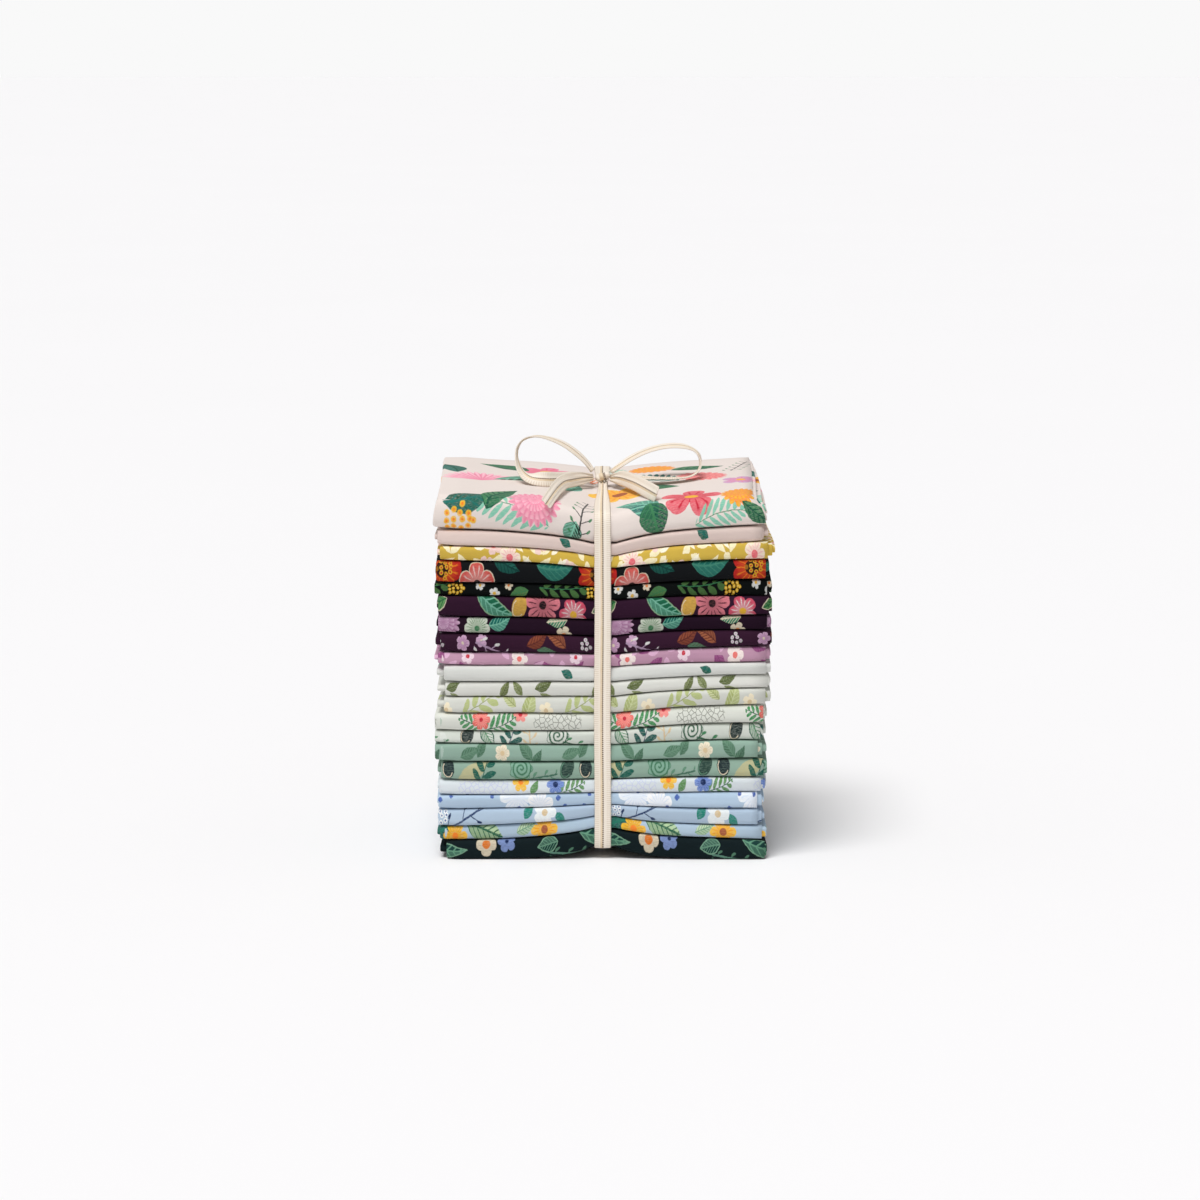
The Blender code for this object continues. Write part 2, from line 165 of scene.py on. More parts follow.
# From the top down: ground colour, where the cut ends at left and right, the height of its underside
# at the left end, at the tape and at the right end, how far its front and back lie inside the block,
# and how far its inner leaf stands out past the outer one at left and right.
CUTS = (
    Cut("01_pink_large_floral", (228, 216, 209), -71.7, 69.6, 142.1, 136.1, 143.8, 0.0, 0.6, 0.0, 0.8),
    Cut("02_pink_small_leaf", (215, 195, 187), -69.7, 68.0, 135.6, 131.0, 137.2, 0.5, 1.4, 1.2, 2.0),
    Cut("03_mustard_petals", (204, 172, 70), -68.7, 71.7, 128.9, 125.8, 129.5, 0.2, 0.0, 1.2, 1.2),
    Cut("04_black_fruit", (19, 21, 23), -70.4, 70.4, 119.5, 117.5, 121.0, 0.0, 1.0, 0.3, -0.6),
    Cut("05_black_sprig", (11, 14, 14), -71.1, 71.5, 114.0, 112.4, 113.9, 0.9, 0.3, -0.8, 0.2),
    Cut("06_plum_pods", (46, 22, 41), -69.6, 71.7, 104.9, 103.4, 105.8, 0.1, 1.8, 0.6, -0.4),
    Cut("07_plum_mauve_floral", (33, 16, 31), -69.6, 71.3, 98.0, 96.6, 99.6, 0.5, 0.4, 0.8, 0.2),
    Cut("08_plum_mixed_leaf", (51, 25, 44), -68.7, 71.7, 89.8, 88.8, 92.4, 0.0, 0.9, 2.2, -0.5),
    Cut("09_orchid_leaf", (188, 145, 168), -69.8, 70.9, 84.4, 83.4, 85.6, 0.8, 1.5, 1.6, 0.4),
    Cut("10_white_small_leaf", (211, 212, 207), -67.3, 71.3, 77.0, 77.0, 80.2, 0.2, 0.2, 3.1, -0.6),
    Cut("11_white_olive_sprig", (216, 216, 209), -66.8, 70.9, 70.6, 70.6, 74.4, 0.5, 1.1, 3.4, 0.4),
    Cut("12_white_olive_foliage", (207, 208, 200), -67.4, 71.3, 63.4, 63.4, 67.0, 0.2, 0.6, 2.9, 0.2),
    Cut("13_white_coral_fern", (215, 217, 208), -71.3, 69.0, 55.8, 55.7, 59.4, 0.1, 1.7, -0.8, 0.9),
    Cut("14_white_green_rose", (206, 211, 202), -71.3, 68.3, 50.3, 49.8, 51.8, 0.6, 0.5, -0.5, 1.2),
    Cut("15_sage_sprig", (142, 170, 155), -71.3, 67.9, 42.7, 42.5, 44.2, 0.0, 0.2, -0.9, 1.9),
    Cut("16_sage_rose", (142, 169, 153), -68.7, 70.0, 34.5, 34.7, 36.0, 0.2, 1.3, 1.6, -0.4),
    Cut("17_white_blue_fern", (213, 220, 224), -69.6, 69.2, 28.2, 29.0, 29.5, 0.4, 0.8, 0.8, 0.6),
    Cut("18_blue_white_cluster", (176, 197, 217), -70.0, 67.9, 22.0, 23.8, 22.1, 0.3, 0.0, 0.5, 1.0),
    Cut("19_blue_branch", (172, 191, 210), -70.0, 67.9, 14.5, 18.6, 14.7, 0.1, 1.2, 0.3, 1.2),
    Cut("20_blue_yellow_flower", (171, 191, 208), -69.4, 70.0, 8.1, 13.4, 8.6, 0.4, 0.7, 1.2, -0.3),
    Cut("21_navy_pod", (20, 31, 34), -66.6, 70.0, 0.0, 0.0, 0.0, 0.0, 0.3, 2.8, 0.3),
)
LOWEST = len(CUTS) - 1

PathRow = namedtuple("PathRow", "x y z across_x across_y across_z width")

LEFT_LOOP = (
    PathRow(-4.2, -0.4, 160.6, 0.30, 0.94, 0.12, 4.0),
    PathRow(-6.9, 0.0, 164.2, 0.29, 0.95, 0.14, 5.8),
    PathRow(-11.3, 0.6, 168.4, 0.25, 0.95, 0.17, 6.9),
    PathRow(-16.9, 1.2, 172.2, 0.17, 0.97, 0.18, 6.9),
    PathRow(-23.4, 1.6, 174.7, 0.03, 1.00, 0.10, 6.9),
    PathRow(-29.6, 1.2, 175.6, -0.20, 0.98, -0.04, 6.9),
    PathRow(-34.9, -0.8, 173.9, -0.31, 0.86, -0.41, 6.9),
    PathRow(-37.1, -4.4, 169.6, 0.03, 0.72, -0.70, 6.9),
    PathRow(-36.4, -9.4, 165.0, 0.42, 0.62, -0.67, 6.9),
    PathRow(-34.4, -14.6, 161.8, 0.74, 0.61, -0.29, 6.9),
    PathRow(-30.6, -19.0, 159.8, 0.50, 0.65, 0.56, 6.9),
    PathRow(-24.6, -20.0, 159.3, -0.07, 0.43, 0.90, 6.9),
    PathRow(-18.4, -15.0, 158.8, -0.34, 0.40, 0.85, 6.9),
    PathRow(-12.6, -8.6, 158.7, -0.41, 0.44, 0.80, 6.2),
    PathRow(-8.0, -5.0, 158.7, -0.28, 0.46, 0.84, 4.6),
    PathRow(-4.2, -3.4, 158.6, -0.16, 0.42, 0.89, 2.4),
)

RIGHT_LOOP = (
    PathRow(3.8, -0.6, 160.2, -0.36, 0.93, 0.07, 3.8),
    PathRow(8.0, 0.8, 163.2, -0.33, 0.94, 0.10, 5.8),
    PathRow(13.0, 2.0, 166.3, -0.24, 0.96, 0.16, 6.9),
    PathRow(20.0, 2.8, 169.4, -0.14, 0.97, 0.20, 6.9),
    PathRow(28.0, 3.2, 171.2, -0.02, 0.98, 0.22, 6.9),
    PathRow(35.4, 2.8, 171.1, 0.21, 0.96, 0.16, 6.9),
    PathRow(40.9, 0.8, 168.8, 0.44, 0.86, -0.26, 6.9),
    PathRow(42.5, -2.8, 164.6, 0.08, 0.70, -0.71, 6.9),
    PathRow(41.2, -7.0, 161.1, -0.46, 0.67, -0.58, 6.9),
    PathRow(37.2, -11.0, 159.3, -0.47, 0.87, -0.17, 6.9),
    PathRow(31.0, -13.0, 158.9, -0.09, 1.00, -0.01, 6.9),
    PathRow(24.0, -12.2, 158.8, 0.27, 0.96, 0.01, 6.9),
    PathRow(16.5, -9.0, 158.7, 0.44, 0.89, 0.13, 6.9),
    PathRow(9.5, -5.0, 158.5, 0.47, 0.83, 0.29, 5.4),
    PathRow(3.9, -1.6, 158.0, 0.45, 0.80, 0.38, 2.4),
)

LEFT_TAIL = (
    PathRow(-4.2, -5.0, 158.2, 0.0, 0.6, 0.8, 2.8),
    PathRow(-8.6, -11.0, 158.7, 0.0, 0.6, 0.8, 5.6),
    PathRow(-13.2, -18.6, 158.9, 0.0, 0.6, 0.8, 6.8),
    PathRow(-16.4, -26.0, 158.9, -0.35, 0.5, 0.78, 6.5),
    PathRow(-18.6, -36.0, 158.2, -0.6, 0.2, 0.75, 6.1),
    PathRow(-20.6, -47.0, 157.0, -0.66, 0.0, 0.74, 5.8),
    PathRow(-23.8, -59.6, 153.6, -0.66, 0.0, 0.74, 5.6),
)

RIGHT_TAIL = (
    PathRow(3.5, -4.8, 158.2, 0.0, 0.6, 0.8, 3.2),
    PathRow(7.0, -10.4, 158.9, 0.0, 0.55, 0.84, 6.2),
    PathRow(11.0, -20.0, 158.9, 0.10, 0.5, 0.86, 6.9),
    PathRow(15.6, -32.0, 158.3, 0.20, 0.4, 0.90, 6.9),
    PathRow(22.8, -50.0, 156.3, 0.22, 0.20, 0.95, 7.1),
)

KNOT_CENTRE = (0.2, -2.2, 158.3)
KNOT_HALF = (3.5, 3.0, 1.75)
KNOT_TILT = math.radians(15)
KNOT_POWER = 0.9
KNOT_GROOVE = 0.09
KNOT_PLEATS = 8.0
KNOT_SLANT = 2.2
# Where the stitched line crosses the knot, and how far the tape's pattern runs across it and round it
KNOT_LINE = 0.6
KNOT_STRETCH = 0.5
KNOT_ROUND = 3.2

# How far from the tape the cloth's points lie, in the outer thicknesses and in the hidden ones
SHOWN_STATIONS = (0.0, 3.6, 5.0, 6.5, 8.5, 11.0, 14.0, 18.0, 23.0, 29.0, 36.0, 44.0, 52.0, 58.0, 62.0)
HIDDEN_STATIONS = (0.0, 5.0, 10.0, 18.0, 30.0, 44.0, 58.0)
TURN_STEPS = 5

# The depth of each of the four thicknesses in a leaf, as a share of the leaf
DEPTHS = (0.125, 0.375, 0.625, 0.875)

# The camera
CAMERA_DISTANCE = 1.6
CAMERA_PITCH = math.radians(8.5)
CAMERA_X = -0.00166
CAMERA_AIM_Y = -0.0555
CAMERA_AIM_Z = 0.1122
CAMERA_LENS = 113.49


# The shape of the stack

def ramp(value, start, reach):
    """0 up to the start, growing evenly to 1 a reach beyond it."""
    return np.clip((value - start) / reach, 0.0, 1.0)


def forward_share(y):
    """0 at the back of the stack and 1 at its front."""
    return ramp(-y, -BACK, BACK - FRONT)


def rise(x, reach, half):
    """0 under the tape, growing to 1 at half millimetres from it."""
    away = np.maximum(0.0, np.abs(x - TAPE_X) - FLAT_HALF)
    full = 1 - math.exp(-(half - FLAT_HALF) / reach)
    return np.minimum(1.0, (1 - np.exp(-away / reach)) / full)


def pinched(x, left, tape, right):
    """A height that falls from its value at either end of the stack to its value at the tape."""
    side = np.where(x < TAPE_X, left, right)
    return tape + (side - tape) * rise(x, PINCH_REACH, HALF_LENGTH)


def ripple(index, x, y):
    """How far the line where two cuts meet wanders up and down. It is held still under the tape."""
    slow = np.sin(x / 17.0 + 2.1 * index) * np.cos(y / 31.0 + 1.3 * index)
    quick = np.sin(x / 5.7 + 4.4 * index + y / 23.0)
    return (SLOW_WAVE * slow + QUICK_WAVE * quick) * rise(x, 8.0, HALF_LENGTH)


def underside(index, x, y):
    """The height of a cut's underside. The lowest cut lies on the table but for its arch."""
    cut = CUTS[index]
    if index == LOWEST:
        return ARCH_HEIGHT * (1 - rise(x, ARCH_REACH, ARCH_HALF)) + 0.0 * y
    return pinched(x, cut.base_left, cut.base_tape, cut.base_right) + ripple(index, x, y)


def upper_side(index, x, y):
    """The height of a cut's upper side. The top cut's falls towards the front and gathers at the tape."""
    if index:
        return underside(index - 1, x, y) - SPACE
    front = pinched(x, TOP_FRONT_SIDE, TOP_FRONT_TAPE, TOP_FRONT_SIDE)
    back = pinched(x, TOP_BACK_SIDE, TOP_BACK_TAPE, TOP_BACK_SIDE)
    corner = np.where(x < TAPE_X, TOP_CORNER_LEFT, TOP_CORNER_RIGHT)
    back = back + corner * ramp(np.abs(x - TAPE_X), CORNER_FROM, CORNER_REACH) ** 1.8
    soft = 0.5 * np.sin(x / 14.0 + y / 40.0) * np.sin(y / 17.0 + 0.6)
    return back - (back - front) * forward_share(y) ** 2 + soft * rise(x, 12.0, HALF_LENGTH)


def chance(*keys):
    """A number from 0 to 1 that is always the same for the same keys."""
    return math.sin(sum(k * w for k, w in zip(keys, (12.9898, 78.233, 37.719)))) * 43758.5453 % 1.0


def squared(angle, squareness):
    """The forward and upward share of a squared half round, at angles from -90 to 90 degrees."""
    c, s = np.abs(np.cos(angle)), np.abs(np.sin(angle))
    reach = (c**squareness + s**squareness) ** (-1 / squareness)
    return reach * c, np.sign(angle) * reach * s


# The folded sheet

def fold_rows(index):
    """The steps along the cut's width, each as its stretch and how far through it.

    The stretches 0 to 6 are the under leaf, the nose, the upper leaf, the fold at the back, the upper inner
    leaf, the inner nose and the lower inner leaf.
    """
    top = index == 0
    counts = (8, 24, 16, 6, 7, 6, 6) if top else (6, 12, 7, 6, 6, 5, 6)
    rows = [(0, 0.0)]
    for stretch, count in enumerate(counts):
        rows += [(stretch, k / count) for k in range(1, count + 1)]
    return np.array(rows)


def fold_columns():
    """The steps along the cut's length, each as its kind, its side, its depth and a value.

    The side is -1 on the left and 1 on the right. The depth runs from 0 on the outside of a leaf to 1 on its
    inside. The value is the distance from the tape on a flat step, and the angle on a turn.
    """
    shown, hidden = both_sides(SHOWN_STATIONS), both_sides(HIDDEN_STATIONS)
    columns = [("edge", 1, DEPTHS[1], 0.0)]
    columns += [("flat", 0, DEPTHS[1], x) for x in hidden[::-1]]
    columns += [("small", -1, 0.5, a) for a in turn_angles(-90, 90)]
    columns += [("flat", 0, DEPTHS[2], x) for x in hidden]
    columns += [("small", 1, 0.75, a) for a in turn_angles(-90, 90)]
    columns += [("flat", 0, DEPTHS[3], x) for x in shown[::-1]]
    columns += [("large", -1, 0.5, a) for a in turn_angles(90, -90)]
    columns += [("flat", 0, DEPTHS[0], x) for x in shown]
    columns += [("edge", 1, DEPTHS[0], 0.0)]
    return columns


def both_sides(stations):
    """The same stations on the left and on the right of the tape."""
    return [-d for d in stations[:0:-1]] + list(stations)


def turn_angles(start, end):
    """Even steps round a turn, from one angle in degrees to another."""
    return [math.radians(start + (end - start) * k / TURN_STEPS) for k in range(TURN_STEPS + 1)]


def end_of(index, side, inner, y):
    """Where a leaf ends at one side. Inner is 1 on the inner leaf, and the end wanders from front to back."""
    cut = CUTS[index]
    end, stands = (cut.left, cut.inner_left) if side < 0 else (cut.right, cut.inner_right)
    wander = np.sin(y / 19.0 + 6.3 * chance(index, side)) - np.sin(FRONT / 19.0 + 6.3 * chance(index, side))
    slant = (chance(index, side, 3) - 0.5) * (y - FRONT) / 60.0
    return end + side * (inner * stands + 0.5 * END_WAVE * wander + END_WAVE * slant)


def along_cut(index, inner, y):
    """How far along the cut its points lie and how deep in their leaf, as rows by columns.

    Inner is 1 on the rows of the inner leaves, where the ends stand out, and y is how far back a row lies.
    """
    columns = fold_columns()
    x = np.zeros((len(y), len(columns)))
    depth = np.zeros_like(x)
    for j, (kind, side, level, value) in enumerate(columns):
        if kind == "flat":
            x[:, j] = TAPE_X + value
            depth[:, j] = level
            continue
        end = end_of(index, side, inner, y)
        if kind == "edge":
            lip = 0.5 + 1.6 * chance(index, 7) if level == DEPTHS[0] else 4.0 + 3.0 * chance(index, 8)
            x[:, j] = end - lip + EDGE_WAVE * np.sin(y / 3.1 + index)
            depth[:, j] = level
        elif kind == "small":
            inset = END_PITCH * 0.5 if side > 0 else 1.5 * END_PITCH + 0.5 + 1.5 * chance(index, 9)
            x[:, j] = end - side * (inset - END_PITCH * 0.5 * math.cos(value))
            depth[:, j] = level + DEPTHS[0] * math.sin(value)
        else:
            x[:, j] = end - side * END_PITCH * 1.5 * (1 - math.cos(value))
            depth[:, j] = level + DEPTHS[1] * math.sin(value)
    return x, depth


def folded_sheet(index):
    """Points of the folded cut and where each lies on the flat cut, as rows by columns."""
    cut = CUTS[index]
    stretch, through = fold_rows(index).T[:, :, None]
    stretches = [stretch == k for k in range(6)]
    gap = TOP_GAP if index == 0 else LEAF_GAP
    squareness = TOP_NOSE_POWER if index == 0 else NOSE_POWER - NOSE_SPREAD * chance(index, 5)
    squareness = LOWEST_NOSE_POWER if index == LOWEST else squareness

    # How far back each row lies on a flat stack, for the wandering ends
    inner = np.select([stretch < 3, stretch == 3], [0.0, through], 1.0)
    forward = BACK - (BACK - FRONT) * through
    backward = FRONT + (BACK - FRONT) * through
    flat_y = np.select(stretches, [forward, FRONT, backward, BACK, forward, FRONT], backward)
    x, depth = along_cut(index, inner[:, 0], flat_y[:, 0])

    # The height of the cut, of one leaf, and the depth of this thickness in its leaf
    bottom = underside(index, x, FRONT)
    height = upper_side(index, x, FRONT) - bottom
    leaf_height = (height - 3 * gap) / 4
    h = depth * leaf_height
    away = rise(x, FLAT_HALF, HALF_LENGTH)
    front = FRONT_AT_TAPE + (FRONT + cut.front - FRONT_AT_TAPE) * away
    front = front + FRONT_WAVE * away * np.sin(x / 13.0 + 5.1 * index) * np.sin(x / 37.0 + index)
    back = BACK_AT_TAPE + (BACK - cut.back - BACK_AT_TAPE) * away
    near_left = np.clip(1 - (x - cut.left) / END_ROUND[0], 0.0, 1.0) ** 2
    near_right = np.clip(1 - (cut.right - x) / END_ROUND[1], 0.0, 1.0) ** 2
    front = front + END_DRAW_IN[0] * near_left + END_DRAW_IN[1] * near_right
    near_end = near_left + near_right
    nose = NOSE_DEPTH * height
    middle = height / 2
    inner_nose = nose - leaf_height / 2
    outer_turn = front + nose
    inner_turn = front + leaf_height + gap + inner_nose
    fold = back - leaf_height - gap / 2
    swell = leaf_height + gap / 2 - h

    angle = np.radians(-90 + 180 * through)
    out, up = squared(angle, squareness)
    lean = 0.5 * np.sin(x / 29.0 + 3.7 * index)
    falling = np.radians(90 - 180 * through)
    y = np.select(
        stretches,
        [
            back + (outer_turn - back) * through,
            outer_turn - (nose - h) * out + lean * up * out,
            outer_turn + (fold - outer_turn) * through,
            fold + swell * np.cos(falling),
            fold + (inner_turn - fold) * through,
            inner_turn - np.maximum(0.2, inner_nose - leaf_height + h) * np.cos(falling),
        ],
        inner_turn + (back - END_STEP - inner_turn) * through,
    )
    level = np.select(
        stretches,
        [
            h + 0 * through,
            middle + (middle - h) * up,
            height - h,
            height - leaf_height - gap / 2 + swell * np.sin(falling),
            height - 2 * leaf_height - gap + h,
            middle + (gap / 2 + h) * np.sin(falling),
        ],
        middle - gap / 2 - h,
    )
    share = level / height
    held = 0.5 + (share - 0.5) * (1 - END_THIN * near_end)
    low = underside(index, x, y)
    z = low + held * (upper_side(index, x, y) - low)
    if index == 0:
        x, y, z = loose_top(x, y, z, share)
    points = np.stack([x, y, z], axis=2)
    return points, flat_places(points)


def loose_top(x, y, z, share):
    """The top cut draws in towards its upper side, and creases at the left end of its front."""
    tuck = np.where(x < TAPE_X, TOP_TUCK_LEFT, -TOP_TUCK_RIGHT)
    tuck = tuck * share**2 * (TUCK_AT_BACK + (1 - TUCK_AT_BACK) * forward_share(y))
    to_end = ramp(np.abs(x - TAPE_X), TUCK_FROM, TUCK_REACH) ** 1.5
    crease = np.exp(-(((share - CREASE_SHARE) / CREASE_HALF) ** 2))
    crease = crease * ramp(-x, 58.0, 6.0) * ramp(-y, 40.0, 8.0)
    return x + tuck * to_end, y + CREASE_IN * crease, z - CREASE_DOWN * crease


def flat_places(points):
    """Where each point of the folded cut lies on the flat one, from the lengths along the cloth."""
    along = np.linalg.norm(np.diff(points, axis=1), axis=2)
    across = np.linalg.norm(np.diff(points, axis=0), axis=2)
    s = np.concatenate([[0.0], np.cumsum(along.mean(axis=0))])
    t = np.concatenate([[0.0], np.cumsum(across.mean(axis=1))])
    s *= FLAT_LENGTH / s[-1]
    t *= FLAT_WIDTH / t[-1]
    return np.stack(np.broadcast_arrays(s[None, :], t[:, None]), axis=2)


def front_middle(index, flat):
    """Where on the flat cut the middle of the front fold lies, on the thickness that shows."""
    stretch, through = fold_rows(index).T
    row = int(np.argmin(np.abs(stretch + through - 1.5)))
    column = fold_columns().index(("flat", 0, DEPTHS[0], 0.0))
    return flat[row, column]


def cloth_mesh(name, points, flat, thickness):
    """A closed thin sheet on the points, with its printed side out and its flat places as its UV map.

    An attribute is 0 on the points of the printed side and 1 on those of the reverse.
    """
    rows, columns = points.shape[:2]
    facing = np.cross(np.gradient(points, axis=1), np.gradient(points, axis=0))
    facing /= np.maximum(np.linalg.norm(facing, axis=2, keepdims=True), 1e-9)
    printed = points + facing * thickness / 2
    reverse = points - facing * thickness / 2
    places = np.concatenate([printed.reshape(-1, 3), reverse.reshape(-1, 3)])
    places = (places + BUNDLE_PLACE) * MM
    number = np.arange(rows * columns).reshape(rows, columns)
    corners = [number[:-1, :-1], number[:-1, 1:], number[1:, 1:], number[1:, :-1]]
    quads = np.stack(corners, axis=2).reshape(-1, 4)
    rim = np.concatenate([number[0, :-1], number[:-1, -1], number[-1, :0:-1], number[:0:-1, 0]])
    ahead = np.roll(rim, -1)
    other = rows * columns
    edge = np.stack([rim, rim + other, ahead + other, ahead], axis=1)
    faces = np.concatenate([quads, quads[:, ::-1] + other, edge])
    mesh = bpy.data.meshes.new(name)
    mesh.from_pydata(places.tolist(), [], faces.tolist())
    flat_twice = np.concatenate([flat.reshape(-1, 2)] * 2) * MM
    layer = mesh.uv_layers.new(name="FlatCut")
    layer.data.foreach_set("uv", flat_twice[faces.reshape(-1)].reshape(-1))
    side = mesh.attributes.new("reverse", "FLOAT", "POINT")
    side.data.foreach_set("value", np.repeat([0.0, 1.0], other))
    mesh.polygons.foreach_set("use_smooth", [True] * len(faces))
    mesh.validate()
    obj = bpy.data.objects.new(name, mesh)
    bpy.context.scene.collection.objects.link(obj)
    return obj


# The tape

def hull(points):
    """The convex outline of (y, z) points, counterclockwise."""
    points = sorted(set((round(y, 4), round(z, 4)) for y, z in points))
    sides = []
    for ordered in (points, points[::-1]):
        side = []
        for point in ordered:
            while len(side) > 1 and turn_of(side[-2], side[-1], point) <= 1e-3:
                side.pop()
            side.append(point)
        sides += side[:-1]
    return sides


def turn_of(a, b, c):
    """Over 0 where the way from a through b to c turns to the left."""
    return (b[0] - a[0]) * (c[1] - a[1]) - (b[1] - a[1]) * (c[0] - a[0])


def grown(outline, distance):
    """The outline with each corner moved out so that its sides lie distance away."""
    corners = np.array(outline)
    ahead = np.roll(corners, -1, axis=0) - corners
    ahead /= np.linalg.norm(ahead, axis=1, keepdims=True)
    behind = np.roll(ahead, 1, axis=0)
    normals = [np.stack([edge[:, 1], -edge[:, 0]], axis=1) for edge in (behind, ahead)]
    between = normals[0] + normals[1]
    return corners + 2 * distance * between / (between**2).sum(axis=1, keepdims=True)


def even_steps(path, step, closed):
    """The path with points a step apart."""
    line = np.vstack([path, path[:1]]) if closed else path
    lengths = np.concatenate([[0.0], np.cumsum(np.linalg.norm(np.diff(line, axis=0), axis=1))])
    count = int(round(lengths[-1] / step))
    places = np.linspace(0, lengths[-1], count + 1)[: count if closed else count + 1]
    return np.stack([np.interp(places, lengths, line[:, k]) for k in range(line.shape[1])], axis=1)


def tape_profile(gather):
    """The tape's section as (across, lift), with rounded edges, raised stitching, and pleats if gathered."""
    half, thick = TAPE_WIDTH / 2, TAPE_THICKNESS / 2
    across = np.linspace(-1, 1, 17)
    edge = (1 - np.abs(across) ** 8) ** 0.5 * thick
    pleat = gather * 0.9 * np.cos(across * 3 * math.pi)
    ridge = 0.14 * np.exp(-((across * half / 0.55) ** 2))
    upper = np.stack([across * half, edge + ridge + pleat], axis=1)
    lower = np.stack([across * half, -edge - ridge + pleat], axis=1)
    return np.concatenate([upper, lower[-2:0:-1]])


def tape_mesh(name, centres, across, lift, widths, closed):
    """A length of tape along its centres, with its UV map in metres: across the tape, and along it."""
    sections, places = [], []
    along = np.concatenate([[0.0], np.cumsum(np.linalg.norm(np.diff(centres, axis=0), axis=1))])
    for k in range(len(centres)):
        share = widths[k] / TAPE_WIDTH
        section = tape_profile(1 - share)
        sections.append(centres[k] + section[:, :1] * share * across[k] + section[:, 1:] * lift[k])
        places.append(np.stack([section[:, 0], np.full(len(section), along[k])], axis=1))
    ring = len(sections[0])
    points = (np.concatenate(sections) + BUNDLE_PLACE) * MM
    faces = []
    last = len(centres) if closed else len(centres) - 1
    for k in range(last):
        near, far = k * ring, (k + 1) % len(centres) * ring
        faces += [(near + i, near + (i + 1) % ring, far + (i + 1) % ring, far + i) for i in range(ring)]
    if not closed:
        faces += [tuple(range(ring))[::-1], tuple(range(last * ring, (last + 1) * ring))]
    mesh = bpy.data.meshes.new(name)
    mesh.from_pydata(points.tolist(), [], faces)
    flat = np.concatenate(places) * MM
    layer = mesh.uv_layers.new(name="FlatTape")
    for polygon in mesh.polygons:
        for corner, loop in zip(polygon.vertices, polygon.loop_indices):
            layer.data[loop].uv = flat[corner]
        ends_meet = closed and max(polygon.vertices) - min(polygon.vertices) > 2 * ring
        if ends_meet:
            for corner, loop in zip(polygon.vertices, polygon.loop_indices):
                if corner < ring:
                    layer.data[loop].uv.y = flat[-1][1] + BAND_STEP * MM
    mesh.polygons.foreach_set("use_smooth", [True] * len(mesh.polygons))
    obj = bpy.data.objects.new(name, mesh)
    bpy.context.scene.collection.objects.link(obj)
    return outward(obj)


def outward(obj):
    """The piece with every face turned outwards."""
    bpy.ops.object.select_all(action="DESELECT")
    obj.select_set(True)
    bpy.context.view_layer.objects.active = obj
    bpy.ops.object.mode_set(mode="EDIT")
    bpy.ops.mesh.select_all(action="SELECT")
    bpy.ops.mesh.normals_make_consistent(inside=False)
    bpy.ops.object.mode_set(mode="OBJECT")
    obj.select_set(False)
    return obj


def smooth_rows(rows):
    """The rows of a path with PATH_STEPS points to a stretch, on a curve through all of them."""
    table = np.array(rows)
    padded = np.vstack([2 * table[0] - table[1], table, 2 * table[-1] - table[-2]])
    made = []
    for k in range(1, len(padded) - 2):
        before, near, far, after = padded[k - 1 : k + 3]
        slope = far - before
        bend = 2 * before - 5 * near + 4 * far - after
        twist = 3 * near - before - 3 * far + after
        for step in range(PATH_STEPS):
            t = step / PATH_STEPS
            made.append(near + 0.5 * (slope * t + bend * t**2 + twist * t**3))
    made.append(table[-1])
    return np.array(made)


def tape_length(name, rows):
    """A free length of tape along a path, turned so that its width follows the across columns."""
    path = smooth_rows(rows)
    centres = path[:, :3]
    along = np.gradient(centres, axis=0)
    along /= np.linalg.norm(along, axis=1, keepdims=True)
    across = path[:, 3:6] - along * (path[:, 3:6] * along).sum(axis=1, keepdims=True)
    across /= np.linalg.norm(across, axis=1, keepdims=True)
    return tape_mesh(name, centres, across, np.cross(along, across), path[:, 6], closed=False)


def tape_round_stack(name):
    """The tape drawn tight round the stack."""
    stack = []
    for index in range(len(CUTS)):
        points, _ = folded_sheet(index)
        held = np.abs(points[:, :, 0] - TAPE_X) < HELD_HALF
        stack += points[held][:, 1:].tolist()
    outline = grown(hull(stack), CLOTH_THICKNESS / 2 + BAND_SPACE + TAPE_THICKNESS / 2)
    line = even_steps(outline, BAND_STEP, closed=True)
    wander = BAND_WAVE * np.sin(np.arange(len(line)) / 9.0)
    centres = np.column_stack([BAND_X + wander, line])
    on_top = line[:, 1] > ON_TOP
    from_knot = line[:, 0] - KNOT_CENTRE[1]
    centres[:, 2] += KNOT_LIFT * np.exp(-((from_knot / KNOT_REACH) ** 2)) * on_top
    widths = TAPE_WIDTH * (1 - KNOT_GATHER * np.exp(-((from_knot / GATHER_REACH) ** 2)) * on_top)
    along = np.roll(centres, -1, axis=0) - np.roll(centres, 1, axis=0)
    along /= np.linalg.norm(along, axis=1, keepdims=True)
    across = np.tile([1.0, 0.0, 0.0], (len(line), 1))
    return tape_mesh(name, centres, across, np.cross(along, across), widths, closed=True)


